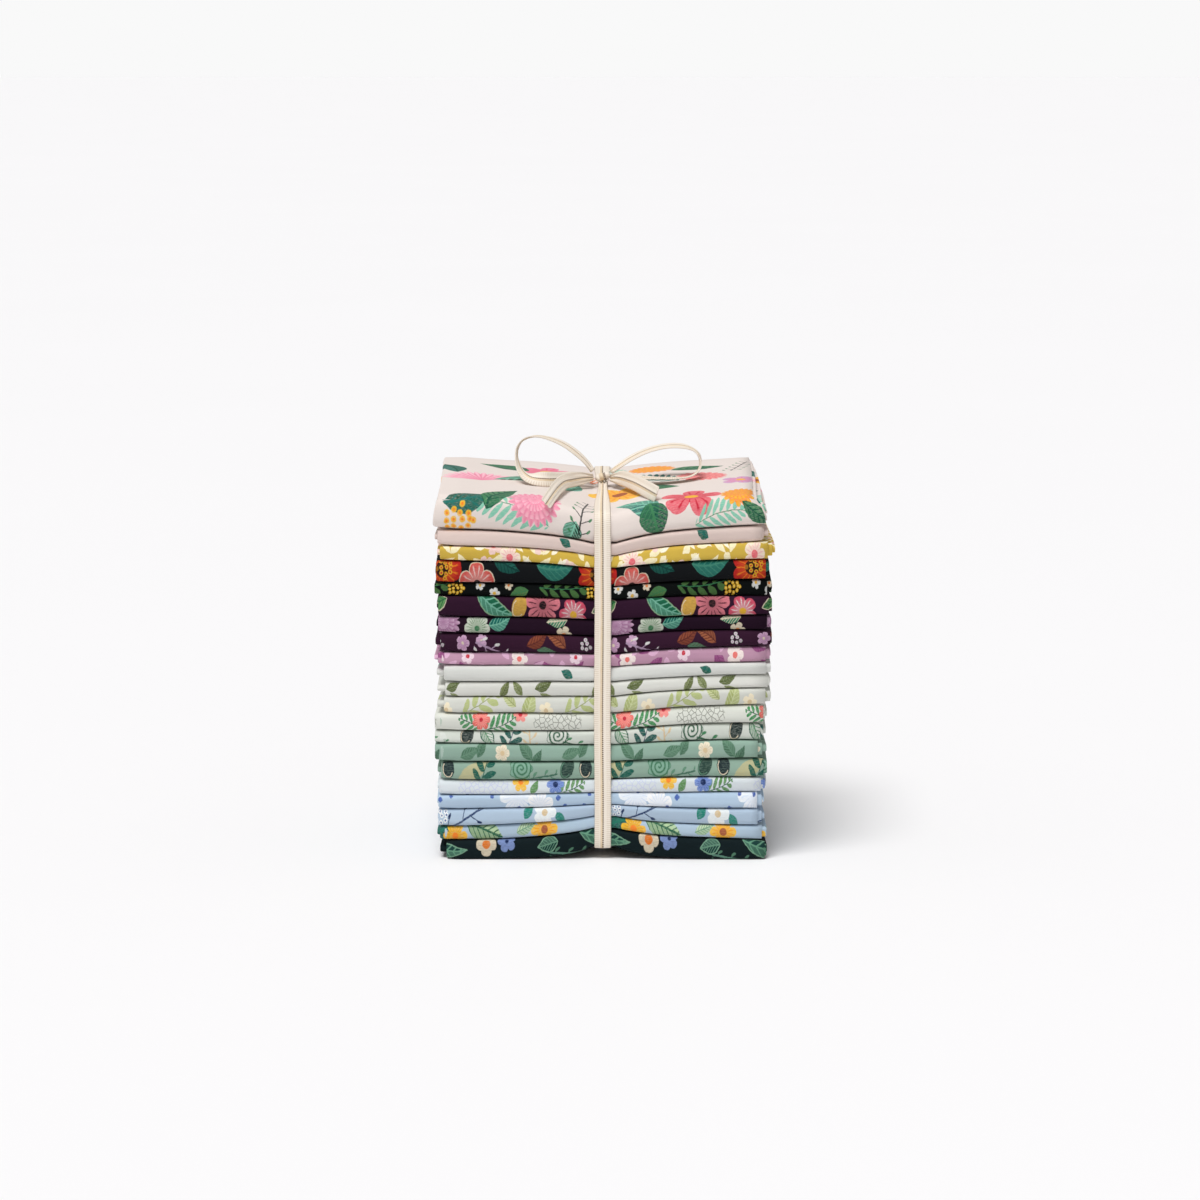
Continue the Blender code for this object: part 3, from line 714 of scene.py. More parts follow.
def tape_knot(name):
    """The pulled-tight knot: tape wrapped over the roots of the loops, with its pleats running round it."""
    bpy.ops.object.select_all(action="DESELECT")
    bpy.ops.mesh.primitive_uv_sphere_add(segments=48, ring_count=32, radius=1.0, location=(0, 0, 0))
    knot = bpy.context.object
    knot.name = name
    places = np.array([v.co for v in knot.data.vertices])
    pole, side, up = places[:, 2], places[:, 0], places[:, 1]
    shaped = np.stack([np.sign(c) * np.abs(c) ** KNOT_POWER for c in (pole, side, up)], axis=1)
    groove = np.cos(shaped[:, 0] * KNOT_PLEATS + shaped[:, 2] * KNOT_SLANT)
    pleat = 1 + KNOT_GROOVE * groove * (1 - shaped[:, 0] ** 4)
    twist = 1 + 0.03 * np.sin(np.arctan2(up, side) * 3 + shaped[:, 0] * 2)
    shaped[:, 1:] *= (pleat * twist)[:, None]
    around = np.arctan2(up, side)
    sized = shaped * KNOT_HALF
    level, height = sized[:, 0].copy(), sized[:, 2].copy()
    sized[:, 0] = level * math.cos(KNOT_TILT) - height * math.sin(KNOT_TILT)
    sized[:, 2] = level * math.sin(KNOT_TILT) + height * math.cos(KNOT_TILT)
    places = (np.array(KNOT_CENTRE) + sized + BUNDLE_PLACE) * MM
    knot.data.vertices.foreach_set("co", places.reshape(-1))
    layer = knot.data.uv_layers.active
    layer.name = "FlatTape"
    for polygon in knot.data.polygons:
        turns = [around[v] for v in polygon.vertices]
        wraps = max(turns) - min(turns) > math.pi
        for loop, vertex, turn in zip(polygon.loop_indices, polygon.vertices, turns):
            turn += 2 * math.pi if wraps and turn < 0 else 0
            flat = KNOT_STRETCH * (shaped[vertex, 0] * KNOT_HALF[0] - KNOT_LINE)
            layer.data[loop].uv = (flat * MM, turn * KNOT_ROUND * MM)
        polygon.use_smooth = True
    return outward(knot)


# Finishes

def linear(channel):
    """A colour's channel from 0 to 255 as an amount of light."""
    value = channel / 255
    return value / 12.92 if value <= 0.04045 else ((value + 0.055) / 1.055) ** 2.4


def ink(colour):
    """A colour from 0 to 255 as a shader takes it."""
    return (*[linear(c) for c in colour], 1.0)


# Sums in a finish's nodes

class Amount:
    """A number or a point on its way through a finish's nodes, so that a shape can be written as a sum."""

    def __init__(self, tree, socket):
        self.tree = tree
        self.socket = socket

    def __add__(self, other):
        return worked(self.tree, "ADD", self, other)

    def __sub__(self, other):
        return worked(self.tree, "SUBTRACT", self, other)

    def __rsub__(self, other):
        return worked(self.tree, "SUBTRACT", other, self)

    def __mul__(self, other):
        return worked(self.tree, "MULTIPLY", self, other)

    def __truediv__(self, other):
        return worked(self.tree, "DIVIDE", self, other)

    def __rtruediv__(self, other):
        return worked(self.tree, "DIVIDE", other, self)

    __radd__ = __add__
    __rmul__ = __mul__


def feed(tree, socket, value):
    """Joins an amount to a socket, or sets the socket to a plain number, point or colour."""
    if isinstance(value, Amount):
        tree.links.new(value.socket, socket)
    else:
        socket.default_value = value


def worked(tree, operation, *values, clamp=False):
    """One sum of numbers."""
    node = tree.nodes.new("ShaderNodeMath")
    node.operation = operation
    node.use_clamp = clamp
    for socket, value in zip(node.inputs, values):
        feed(tree, socket, value)
    return Amount(tree, node.outputs[0])


def plain_sum(operation):
    """A function that works one sum out of one or two amounts."""
    return lambda a, *others: worked(a.tree, operation, a, *others)


absolute = plain_sum("ABSOLUTE")
fraction = plain_sum("FRACT")
floored = plain_sum("FLOOR")
cosine = plain_sum("COSINE")
power = plain_sum("POWER")
most = plain_sum("MAXIMUM")


def inside(value, limit, soft=0.25):
    """1 where value is under the limit, 0 where it is over, with an edge as wide as soft."""
    room = limit - value
    return worked(room.tree, "MULTIPLY_ADD", room, 1 / soft, 0.5, clamp=True)


def moved(a, operation, *values):
    """A sum of points, which ends in a point or, for a length, in a number."""
    node = a.tree.nodes.new("ShaderNodeVectorMath")
    node.operation = operation
    for socket, value in zip(node.inputs, (a, *values)):
        feed(a.tree, socket, value)
    return Amount(a.tree, node.outputs[1] if operation == "LENGTH" else node.outputs[0])


def split(a):
    """The three numbers of a point."""
    node = a.tree.nodes.new("ShaderNodeSeparateXYZ")
    feed(a.tree, node.inputs[0], a)
    return [Amount(a.tree, out) for out in node.outputs]


def joined(x, y):
    """A flat point out of two numbers."""
    node = x.tree.nodes.new("ShaderNodeCombineXYZ")
    feed(x.tree, node.inputs[0], x)
    feed(x.tree, node.inputs[1], y)
    return Amount(x.tree, node.outputs[0])


def turned(a, angle):
    """A flat point turned round the middle."""
    node = a.tree.nodes.new("ShaderNodeVectorRotate")
    node.rotation_type = "Z_AXIS"
    feed(a.tree, node.inputs["Vector"], a)
    feed(a.tree, node.inputs["Angle"], angle)
    return Amount(a.tree, node.outputs[0])


def grain(a, scale, detail=2.0, roughness=0.5):
    """A soft random tone, and three of them as a point."""
    node = a.tree.nodes.new("ShaderNodeTexNoise")
    feed(a.tree, node.inputs["Vector"], a)
    node.inputs["Scale"].default_value = scale
    node.inputs["Detail"].default_value = detail
    node.inputs["Roughness"].default_value = roughness
    return Amount(a.tree, node.outputs[0]), Amount(a.tree, node.outputs[1])


def inked(ground, amount, colour):
    """The ground with a colour laid over it by an amount from 0 to 1."""
    node = amount.tree.nodes.new("ShaderNodeMix")
    node.data_type = "RGBA"
    feed(amount.tree, node.inputs[0], amount)
    feed(amount.tree, node.inputs[6], ground if isinstance(ground, Amount) else ink(ground))
    feed(amount.tree, node.inputs[7], colour if isinstance(colour, Amount) else ink(colour))
    return Amount(amount.tree, node.outputs[2])


# The printed shapes, each drawn round its own middle in millimetres. A shape gives its parts in the order in
# which they are printed, each 1 where it lies and 0 elsewhere, and its inks come in the same order.

def stem(at, length, bend=0.0):
    """The place along a bent stem, the same from -1 to 1, across it and off it, and 1 within its length."""
    x, y = split(at)[:2]
    u = x * 2.0 / length
    y = y - bend * u * u
    return x, u, y, absolute(y), inside(absolute(u), 1.0, 0.05)


def round_middle(at):
    """How far from the middle, and the angle round it."""
    x, y = split(at)[:2]
    return moved(at, "LENGTH"), worked(x.tree, "ARCTAN2", y, x)


def cells(at, size):
    """A node that parts the cloth into uneven cells of a size."""
    node = at.tree.nodes.new("ShaderNodeTexVoronoi")
    node.voronoi_dimensions = "2D"
    feed(at.tree, node.inputs["Vector"], at)
    feed(at.tree, node.inputs["Scale"], 1.0 / size)
    return node


def drawn_leaf(at, length, width, bend):
    x, u, y, off, on = stem(at, length, bend)
    half = width * 0.5 * most(1 - u * u, 0.0) * (1 - 0.35 * u)
    blade = inside(off, half) * on
    rib = inside(off, 0.05 * width)
    vein = inside(absolute(fraction((x - off) * 7.0 / length) - 0.5), 0.13, 0.12)
    outline = inside(absolute(off - half), 0.22) * on
    dark_side = 0.4 * inside(y, 0.0, 0.5)
    return blade, most(most(rib, vein), dark_side) * blade, outline


def drawn_oval(at, length, width):
    x, y = split(at)[:2]
    body = inside(moved(joined(x * 2.0 / length, y * 2.0 / width), "LENGTH"), 1.0, 0.08)
    smaller = joined((x + 0.04 * length) * 2.6 / length, (y - 0.04 * width) * 2.6 / width)
    gleam = inside(absolute(moved(smaller, "LENGTH") - 1.0), 0.07, 0.08) * inside(x - y, 0.0)
    return body, gleam * body


def drawn_blossom(at, radius, petals, notch, eye):
    r, turn = round_middle(at)
    wave = absolute(cosine(turn * petals * 0.5))
    edge = radius * (1 - notch * power(1 - wave, 1.6))
    body = inside(r, edge)
    stroke = inside(absolute(fraction(turn * petals * 1.5 / math.pi) - 0.5), 0.12, 0.12)
    strokes = stroke * inside(radius * 0.35, r, 0.5) * inside(r, radius * 0.8, 1.2) * body
    outline = inside(absolute(r - edge), 0.2)
    heart = 0.45 * inside(r, radius * 0.5, radius * 0.6) * body
    return body, most(strokes, heart), inside(r, radius * eye), outline


def drawn_mum(at, radius, petals, rings):
    r, turn = round_middle(at)
    turn = turn * petals * 0.5
    step = r * rings / radius
    stripe = absolute(cosine(turn + floored(step) * math.pi / 2))
    body = inside(r, radius * (0.8 + 0.2 * absolute(cosine(turn + 0.3))))
    tone = stripe * (0.25 + 0.75 * fraction(step))
    return body, tone * body


def drawn_fan(at, radius, strokes, spread):
    r, turn = round_middle(at)
    comb = absolute(cosine(turn * strokes))
    body = inside(r, radius * (0.72 + 0.28 * comb), 0.3) * inside(absolute(turn), spread, 0.1)
    return body, body * power(comb, 2.0) * inside(0.3, r / radius, 0.5)


def drawn_sprig(at, length, reach, spacing, bend):
    x, u, y, off, on = stem(at, length, bend)
    other = inside(0.0, y, 0.02) * 0.5
    place = fraction((x - off * 0.7) / spacing + other) - 0.5
    taper = reach * power(most(1 - u * u, 0.0), 0.6)
    out = off / most(taper, 0.01)
    half = spacing * 0.36 * power(most(out * (1 - out) * 4, 0.0), 0.7)
    leaves = inside(absolute(place) * spacing, half, 0.2) * inside(out, 1.0, 0.1)
    return leaves * on, inside(off, 0.16, 0.15) * on


def drawn_twig(at, length, reach, spacing):
    x, _, y, off, on = stem(at, length)
    other = inside(0.0, y, 0.02) * 0.5
    step = (x - off * 0.8) / spacing + other
    place = absolute(fraction(step) - 0.5) * spacing
    branch = inside(place, 0.24, 0.2) * inside(off, reach, 0.2)
    bud = inside(moved(joined(place, off - reach), "LENGTH"), 0.75, 0.25)
    return most(inside(off, 0.34, 0.2), branch) * on, bud * on


def drawn_berries(at, radius, berry):
    node = cells(at, berry)
    node.inputs["Randomness"].default_value = 0.55
    near = Amount(at.tree, node.outputs["Distance"])
    middle = Amount(at.tree, node.outputs["Position"])
    within = inside(moved(middle, "LENGTH"), radius, 0.1)
    return inside(near, 0.42, 0.12) * within, inside(near, 0.2, 0.15) * within


def drawn_curl(at, radius, gap):
    r, turn = round_middle(at)
    edge = radius * (0.92 + 0.08 * cosine(turn * 7.0))
    line = absolute(fraction(r / gap - turn * 0.5 / math.pi) - 0.5)
    disc = inside(r, edge)
    return disc, most(inside(line, 0.2, 0.15), inside(absolute(r - edge), 0.25)) * disc


def drawn_stipple(at, radius, mesh):
    node = cells(at, mesh)
    node.feature = "DISTANCE_TO_EDGE"
    near = Amount(at.tree, node.outputs["Distance"])
    r, turn = round_middle(at)
    patch = inside(r, radius * (0.8 + 0.2 * cosine(turn * 4.0)), 0.6)
    return patch, inside(near, 0.07, 0.06) * patch


# Each shape's function, the names of its sizes, and how many parts it is printed in
DRAWN = {
    "leaf": (drawn_leaf, ("length", "width", "bend"), 3),
    "oval": (drawn_oval, ("length", "width"), 2),
    "blossom": (drawn_blossom, ("radius", "petals", "notch", "eye"), 4),
    "mum": (drawn_mum, ("radius", "petals", "rings"), 2),
    "fan": (drawn_fan, ("radius", "strokes", "spread"), 2),
    "sprig": (drawn_sprig, ("length", "reach", "spacing", "bend"), 2),
    "twig": (drawn_twig, ("length", "reach", "spacing"), 2),
    "berries": (drawn_berries, ("radius", "berry"), 2),
    "curl": (drawn_curl, ("radius", "gap"), 2),
    "stipple": (drawn_stipple, ("radius", "mesh"), 2),
}


def stencil(name, places, sizes, moved_places, parts, draw):
    """A shape or a rule of layout as a group of nodes, made once and used in every print.

    It takes places and sizes, and gives moved places and then a number of parts, each an amount.
    """
    found = bpy.data.node_groups.get(name)
    if found:
        return found
    tree = bpy.data.node_groups.new(name, "ShaderNodeTree")
    for labels, in_out, kind in (
        (places, "INPUT", "NodeSocketVector"),
        (sizes, "INPUT", "NodeSocketFloat"),
        (moved_places, "OUTPUT", "NodeSocketVector"),
        ([f"Part {k + 1}" for k in range(parts)], "OUTPUT", "NodeSocketFloat"),
    ):
        for label in labels:
            tree.interface.new_socket(name=label, in_out=in_out, socket_type=kind)
    entry = tree.nodes.new("NodeGroupInput")
    leave = tree.nodes.new("NodeGroupOutput")
    results = draw(*[Amount(tree, entry.outputs[label]) for label in (*places, *sizes)])
    for socket, result in zip(leave.inputs, results):
        tree.links.new(result.socket, socket)
    return tree


def stamped(tree, group, values):
    """What a group of nodes gives for these values."""
    node = tree.nodes.new("ShaderNodeGroup")
    node.node_tree = group
    for socket, value in zip(node.inputs, values):
        feed(tree, socket, value)
    return [Amount(tree, out) for out in node.outputs]


def repeat_rule(cloth, middle, repeat, turn):
    """Where the cloth lies from the nearest copy of a motif, in rows that are shifted by half a repeat."""
    x, y = split(moved(cloth, "SUBTRACT", middle))[:2]
    wide, high = split(repeat)[:2]
    down = y / high + 0.5
    row = floored(down)
    across = x / wide + 0.5 + row * 0.5
    near = joined((fraction(across) - 0.5) * wide, (down - row - 0.5) * high)
    return (turned(near, turn),)


def scatter_rule(cloth, cell, seed, wander, spin):
    """Where the cloth lies from the motif that is strewn in its cell, and that cell's chance of one."""
    where = moved(cloth, "DIVIDE", cell)
    x, y = split(where)[:2]
    row = floored(y)
    x = x + row * 0.5
    column = floored(x)
    node = cloth.tree.nodes.new("ShaderNodeTexWhiteNoise")
    node.noise_dimensions = "3D"
    seeded = joined(column, row)
    cloth.tree.links.new(seed.socket, seeded.socket.node.inputs[2])
    feed(cloth.tree, node.inputs["Vector"], seeded)
    chosen, drift = Amount(cloth.tree, node.outputs[0]), Amount(cloth.tree, node.outputs[1])
    dx, dy, dz = split(drift)
    near = joined(x - column - 0.5 - (dx - 0.5) * wander, y - row - 0.5 - (dy - 0.5) * wander)
    near = moved(near, "MULTIPLY", cell)
    return turned(near, (dz - 0.5) * spin), chosen


def local_place(tree, cloth, row, repeat):
    """Where the cloth lies from a motif's own middle, and for a strewn one whether its cell holds it."""
    if row.repeat:
        cell = (*row.repeat, 1.0)
        group = stencil("strewn", ("Cloth", "Cell"), ("Seed", "Wander", "Spin"), ("Near",), 1, scatter_rule)
        seed = row.x + row.y * 7.0
        near, chosen = stamped(tree, group, (cloth, cell, seed, STREWN_WANDER, math.radians(row.turn)))
        return near, inside(chosen, STREWN_SHARE, 0.01)
    group = stencil("repeated", ("Cloth", "Middle", "Repeat"), ("Turn",), ("Near",), 0, repeat_rule)
    middle = (row.x, row.y, 0.0)
    return stamped(tree, group, (cloth, middle, (*repeat, 1.0), -math.radians(row.turn)))[0], None


Motif = namedtuple("Motif", "shape x y turn sizes inks repeat")


def motif(shape):
    """A function that writes a motif as its place, its turn in degrees, its shape's sizes and its inks."""
    count = len(DRAWN[shape][1])
    return lambda x, y, turn, *rest, repeat=None: Motif(shape, x, y, turn, rest[:count], rest[count:], repeat)


leaf, oval, blossom, mum, fan, sprig, twig, berries, curl, stipple = (motif(shape) for shape in DRAWN)

GREEN, DEEP_GREEN, TEAL, MINT = (62, 128, 84), (18, 82, 62), (32, 112, 102), (128, 196, 170)
CREAM, WHITE, YELLOW, ORANGE = (242, 228, 200), (240, 240, 236), (240, 186, 50), (242, 130, 44)
PINK, ROSE, RED, CORAL = (232, 126, 158), (226, 100, 112), (196, 34, 56), (232, 104, 96)
NAVY, BLACK, MAUVE, RUST = (26, 44, 86), (22, 24, 26), (206, 158, 196), (158, 84, 60)
OLIVE, SAGE, BEIGE, BLUE = (140, 150, 92), (96, 142, 116), (214, 190, 150), (96, 124, 196)

# How much darker the inks lie on a dark ground
DARK_INK = 0.86
DARK_GROUND = 80
PALE_GROUND = 120

# How far strewn motifs wander in their cells, and the share of the cells that hold one
STREWN_WANDER = 0.5
STREWN_SHARE = 0.85

Print = namedtuple("Print", "repeat motifs")

# The motifs of each print round the middle of its front fold, in the order in which they are printed.
# A motif with a repeat of its own is strewn, at most once in each cell of that size.
PRINTS = {
    "01_pink_large_floral": Print((148.0, 126.0), (
        sprig(-40, 4, 168, 34, 8.0, 3.6, 3, MINT, SAGE),
        leaf(-58, 6, 20, 24, 11, 2, DEEP_GREEN, TEAL),
        leaf(-46, 14, 60, 26, 12, -2, GREEN, DEEP_GREEN),
        mum(-30, 8, 0, 11.5, 22, 4, PINK, (250, 190, 204)),
        berries(-62, -3, 0, 6.5, 2.9, YELLOW, ORANGE),
        leaf(-14, -4, 250, 11, 8, 0, DEEP_GREEN, MINT),
        twig(-9, 8, 80, 24, 4, 5.0, BLACK, GREEN),
        leaf(16, 10, 140, 24, 12, 3, TEAL, MINT),
        leaf(22, 0, 285, 17, 12, 0, DEEP_GREEN, GREEN),
        blossom(38, 12, 10, 13.5, 5, 0.5, 0.22, ROSE, RED, YELLOW),
        sprig(50, 0, 12, 22, 6.5, 3.0, -2, MINT, GREEN),
        mum(60, 11, 0, 9.5, 18, 3, ORANGE, YELLOW),
        leaf(66, -2, 320, 16, 7, 1, GREEN, DEEP_GREEN),
        blossom(7, 38, 0, 14, 6, 0.4, 0.25, YELLOW, ORANGE, RUST),
        fan(-54, 46, 100, 20, 16, 1.3, PINK, (250, 196, 208)),
        leaf(-36, 58, 200, 30, 13, 3, DEEP_GREEN, MINT),
        mum(44, 62, 0, 12, 20, 4, ROSE, (250, 170, 160)),
        sprig(22, 66, 140, 34, 8.0, 3.6, 3, TEAL, DEEP_GREEN),
        berries(-6, 74, 0, 8, 3.0, ORANGE, RED),
        leaf(-14, 46, 70, 22, 9, 2, TEAL, MINT),
        leaf(24, 42, 340, 20, 10, 1, DEEP_GREEN, GREEN),
        blossom(-26, 84, 20, 13, 6, 0.45, 0.22, PINK, ROSE, YELLOW),
        leaf(-44, 92, 150, 26, 12, 2, DEEP_GREEN, GREEN),
        mum(22, 92, 0, 11, 20, 4, ORANGE, YELLOW),
        leaf(42, 90, 20, 26, 12, -2, GREEN, DEEP_GREEN),
        sprig(4, 96, 95, 26, 7.0, 3.4, 2, MINT, SAGE),
        blossom(62, 44, 0, 10, 5, 0.4, 0.25, MAUVE, PINK, YELLOW),
        twig(62, 88, 70, 26, 4, 5.0, BLACK, GREEN),
        leaf(-68, 74, 110, 24, 11, 2, TEAL, DEEP_GREEN),
    )),
    "02_pink_small_leaf": Print((60.0, 30.0), (
        leaf(-17, 1, 150, 5.6, 3.4, 0, DEEP_GREEN, TEAL),
        leaf(16, 5, 10, 5.0, 2.6, 0, DEEP_GREEN),
    )),
    "03_mustard_petals": Print((52.0, 24.0), (
        leaf(1, 1, 180, 7.5, 2.6, 0.5, (246, 236, 196), repeat=(6.5, 5.0)),
        blossom(2, 1, 360, 3.6, 5, 0.4, 0.3, (240, 206, 200), None, CORAL, repeat=(17.0, 9.0)),
        leaf(3, 1, 120, 5.5, 1.8, 0.3, (250, 244, 222), repeat=(8.0, 6.0)),
        blossom(12, -1, 0, 4.6, 5, 0.4, 0.3, (246, 228, 208), (236, 170, 180), ROSE),
    )),
    "04_black_fruit": Print((66.0, 26.0), (
        leaf(-20, 2, 8, 17, 8, 2, TEAL, (70, 140, 120)),
        blossom(-3, 1, 0, 8.5, 5, 0.25, 0.34, (206, 46, 40), ORANGE, BLACK),
        berries(-2, 1, 0, 3.4, 1.9, YELLOW, RED),
        blossom(12, -4, 20, 7.5, 5, 0.3, 0.2, CORAL, (250, 214, 206), BLACK, CREAM),
        leaf(24, 3, 330, 13, 6, 1, (38, 104, 92), (18, 60, 56)),
    )),
    "05_black_sprig": Print((58.0, 20.0), (
        sprig(-16, 1, 4, 22, 4.5, 4.2, 1, (78, 118, 66), GREEN),
        leaf(22, -1, 200, 9, 4, 0.5, (96, 134, 78), GREEN),
        blossom(6, 1.6, 0, 2.0, 5, 0.4, 0.3, WHITE, None, YELLOW),
        blossom(12, -1.4, 0, 2.3, 5, 0.4, 0.3, WHITE, None, YELLOW),
        berries(-4, 0, 0, 3.6, 1.5, YELLOW, (250, 220, 120)),
        blossom(18, 1.8, 0, 1.8, 5, 0.4, 0.3, CREAM, None, ORANGE),
    )),
    "06_plum_pods": Print((72.0, 28.0), (
        blossom(-26, 1, 14, 7.5, 5, 0.35, 0.2, (240, 138, 150), (70, 30, 46), BLACK),
        blossom(-13, -2, 40, 6.0, 5, 0.35, 0.24, (228, 92, 116), WHITE, YELLOW),
        leaf(0, 1, 200, 11, 6, 0, (110, 170, 104), (44, 104, 66), CREAM),
        leaf(25, 0, 330, 19, 6, 2, (34, 112, 80), MINT, (150, 190, 150)),
        oval(-36, 0, 70, 9, 6, (226, 178, 84), CREAM),
    )),
    "07_plum_mauve_floral": Print((74.0, 26.0), (
        mum(5, 1, 0, 7.8, 20, 3, (176, 122, 162), (226, 190, 216)),
        blossom(20, -1, 0, 5.4, 8, 0.2, 0.2, (224, 232, 214), (70, 130, 76), GREEN),
        leaf(30, 1, 20, 10, 5, 1, TEAL, MINT),
        leaf(-20, 2, 186, 9, 4.5, 0, (60, 140, 106), CREAM),
        blossom(-17, -3, 0, 3.4, 5, 0.4, 0.3, CREAM, None, ORANGE),
    )),
    "08_plum_mixed_leaf": Print((64.0, 24.0), (
        leaf(-28, 1, 30, 10, 4.5, 1, RUST, (96, 46, 44)),
        leaf(-20, 2, 150, 10, 4.5, 1, (176, 104, 72), (96, 46, 44)),
        leaf(-24, -3, 350, 9, 3.5, 0, (96, 124, 96), SAGE),
        blossom(4, 0, 0, 2.8, 5, 0.35, 0.2, (226, 184, 216), (180, 120, 170), CREAM),
        blossom(12, 1, 30, 2.4, 5, 0.35, 0.2, (226, 184, 216), None, CREAM),
        twig(16, -2, 340, 14, 2.4, 5.5, (190, 160, 190), WHITE),
        berries(-8, 0, 0, 2.4, 1.7, WHITE, MAUVE),
    )),
    "09_orchid_leaf": Print((46.0, 20.0), (
        leaf(1, 2, 120, 9.0, 4.0, 0.8, (156, 84, 134), (130, 62, 112), repeat=(12.0, 8.0)),
        leaf(4, 3, 200, 6.0, 2.6, 0.4, (222, 178, 206), repeat=(9.0, 6.5)),
        blossom(10, 0, 0, 3.6, 5, 0.35, 0.28, (244, 230, 224), None, CORAL),
        blossom(-12, 1, 0, 2.8, 5, 0.35, 0.28, (240, 216, 226), None, RED),
    )),
    "10_white_small_leaf": Print((60.0, 30.0), (
        leaf(-16, 0, 155, 5.4, 3.2, 0, DEEP_GREEN, TEAL),
        sprig(20, 6, 60, 6.0, 2.6, 1.8, 0, MINT, SAGE),
    )),
    "11_white_olive_sprig": Print((40.0, 22.0), (
        leaf(-3, 0, 60, 7.5, 3.2, 0, (124, 134, 82), (78, 88, 50)),
        leaf(2.5, 0.5, 125, 7.0, 3.0, 0, (140, 150, 100), (92, 104, 60)),
        leaf(14, 1, 20, 8.0, 3.6, 0.5, (108, 120, 72), (78, 90, 50)),
        leaf(15, -3, 150, 6.5, 2.8, 0, (150, 160, 112), (110, 120, 74)),
    )),
    "12_white_olive_foliage": Print((44.0, 24.0), (
        sprig(-8, 1, 30, 19, 5.4, 4.2, 1, (176, 186, 124), OLIVE),
        leaf(12, 0, 70, 12, 5.4, 1, (162, 172, 104), (196, 204, 156)),
        leaf(3, 2, 140, 8, 3.6, 0, (196, 202, 150), OLIVE),
        blossom(19, -2, 0, 3.2, 5, 0.4, 0.3, (238, 226, 196), None, BEIGE),
    )),
    "13_white_coral_fern": Print((62.0, 26.0), (
        stipple(-20, 0, 0, 10.5, 1.9, None, (138, 140, 130)),
        sprig(18, -1, 20, 15, 4.6, 2.5, 1, (66, 140, 84), DEEP_GREEN),
        sprig(4, 0, 160, 10, 3.6, 2.2, 0, (66, 140, 84), DEEP_GREEN),
        blossom(9, 1, 0, 4.0, 7, 0.35, 0.2, CORAL, (250, 170, 160), RED),
        blossom(26, 3, 0, 3.0, 6, 0.35, 0.3, (240, 140, 134), None, RED),
    )),
    "14_white_green_rose": Print((58.0, 24.0), (
        curl(-20, 1, 0, 5.0, 1.7, None, (34, 86, 60)),
        twig(-12, -3, 345, 12, 2.0, 5.0, (34, 86, 60), GREEN),
        oval(-1, 1, 70, 8.4, 5.6, (30, 46, 44), CREAM),
        leaf(8, 0, 300, 10, 5.0, 0, None, GREEN, DEEP_GREEN),
        sprig(18, 0, 70, 12, 5.0, 4.4, 0, (16, 84, 76), NAVY),
        twig(26, 1, 95, 10, 2.4, 4.0, BEIGE, BEIGE),
    )),
    "15_sage_sprig": Print((44.0, 24.0), (
        leaf(-14, 0, 20, 9, 4, 0, (76, 114, 90), (106, 144, 120)),
        leaf(-9, 2, 65, 8, 3.6, 0, (92, 130, 106), (68, 104, 82)),
        leaf(10, 1, 130, 9, 4.2, 0, (72, 110, 86), (102, 140, 116)),
        leaf(15, -2, 60, 8, 3.4, 0, (84, 122, 98), (64, 98, 78)),
        blossom(0, 0, 0, 3.2, 5, 0.3, 0.3, (236, 224, 200), (206, 190, 160), BEIGE),
    )),
    "16_sage_rose": Print((60.0, 24.0), (
        leaf(4, 0, 30, 16, 6.0, 1, (186, 182, 140)),
        oval(-16, 1, 65, 8.4, 5.6, (40, 66, 58), SAGE),
        oval(-8, 1, 95, 8.0, 5.6, (30, 44, 48), CREAM),
        sprig(8, 0, 70, 13, 5.2, 4.6, 0, (20, 92, 78), DEEP_GREEN),
        curl(24, 1, 0, 5.2, 1.7, (128, 170, 148), (66, 116, 88)),
        twig(-26, -2, 10, 12, 1.6, 5.0, (60, 104, 84), SAGE),
    )),
    "17_white_blue_fern": Print((64.0, 26.0), (
        stipple(12, 0, 0, 11.0, 2.0, None, (196, 202, 226)),
        sprig(-14, -1, 20, 13, 4.2, 2.4, 1, (92, 140, 82), DEEP_GREEN),
        blossom(-21, 1, 0, 3.8, 6, 0.35, 0.3, (120, 146, 206), (70, 96, 170), NAVY),
        leaf(-30, 0, 60, 6, 2.8, 0, (92, 140, 82)),
        blossom(28, 2, 0, 3.6, 6, 0.35, 0.3, YELLOW, None, ORANGE),
    )),
    "18_blue_white_cluster": Print((52.0, 26.0), (
        blossom(14, 2, 0, 7.5, 6, 0.35, 0.0, (234, 238, 242), (206, 218, 236), BLUE),
        blossom(24, -2, 20, 6.0, 6, 0.35, 0.0, (240, 240, 240), (206, 218, 236), BLUE),
        blossom(-20, 1, 0, 1.1, 4, 0.2, 0.0, (70, 98, 170)),
        blossom(1, 4, 360, 0.9, 4, 0.2, 0.0, (64, 92, 166), repeat=(9.0, 7.0)),
    )),
    "19_blue_branch": Print((76.0, 26.0), (
        blossom(-26, 1, 0, 5.0, 5, 0.35, 0.25, (232, 236, 236), None, BEIGE),
        leaf(-33, 2, 60, 7, 3.6, 0, (34, 128, 110)),
        leaf(-19, -2, 300, 7, 3.4, 0, (34, 128, 110)),
        twig(14, -1, 24, 20, 3.6, 7.5, (30, 52, 96), NAVY),
        berries(4, 0, 0, 3.6, 1.9, WHITE, (60, 90, 150)),
    )),
    "20_blue_yellow_flower": Print((78.0, 28.0), (
        leaf(4, 0, 200, 16, 11, 0, (18, 84, 72), (34, 112, 92)),
        leaf(26, 1, 340, 17, 9, 0, (178, 204, 156), (30, 92, 66)),
        blossom(13, -1, 0, 5.4, 6, 0.45, 0.25, YELLOW, (206, 140, 40), ORANGE),
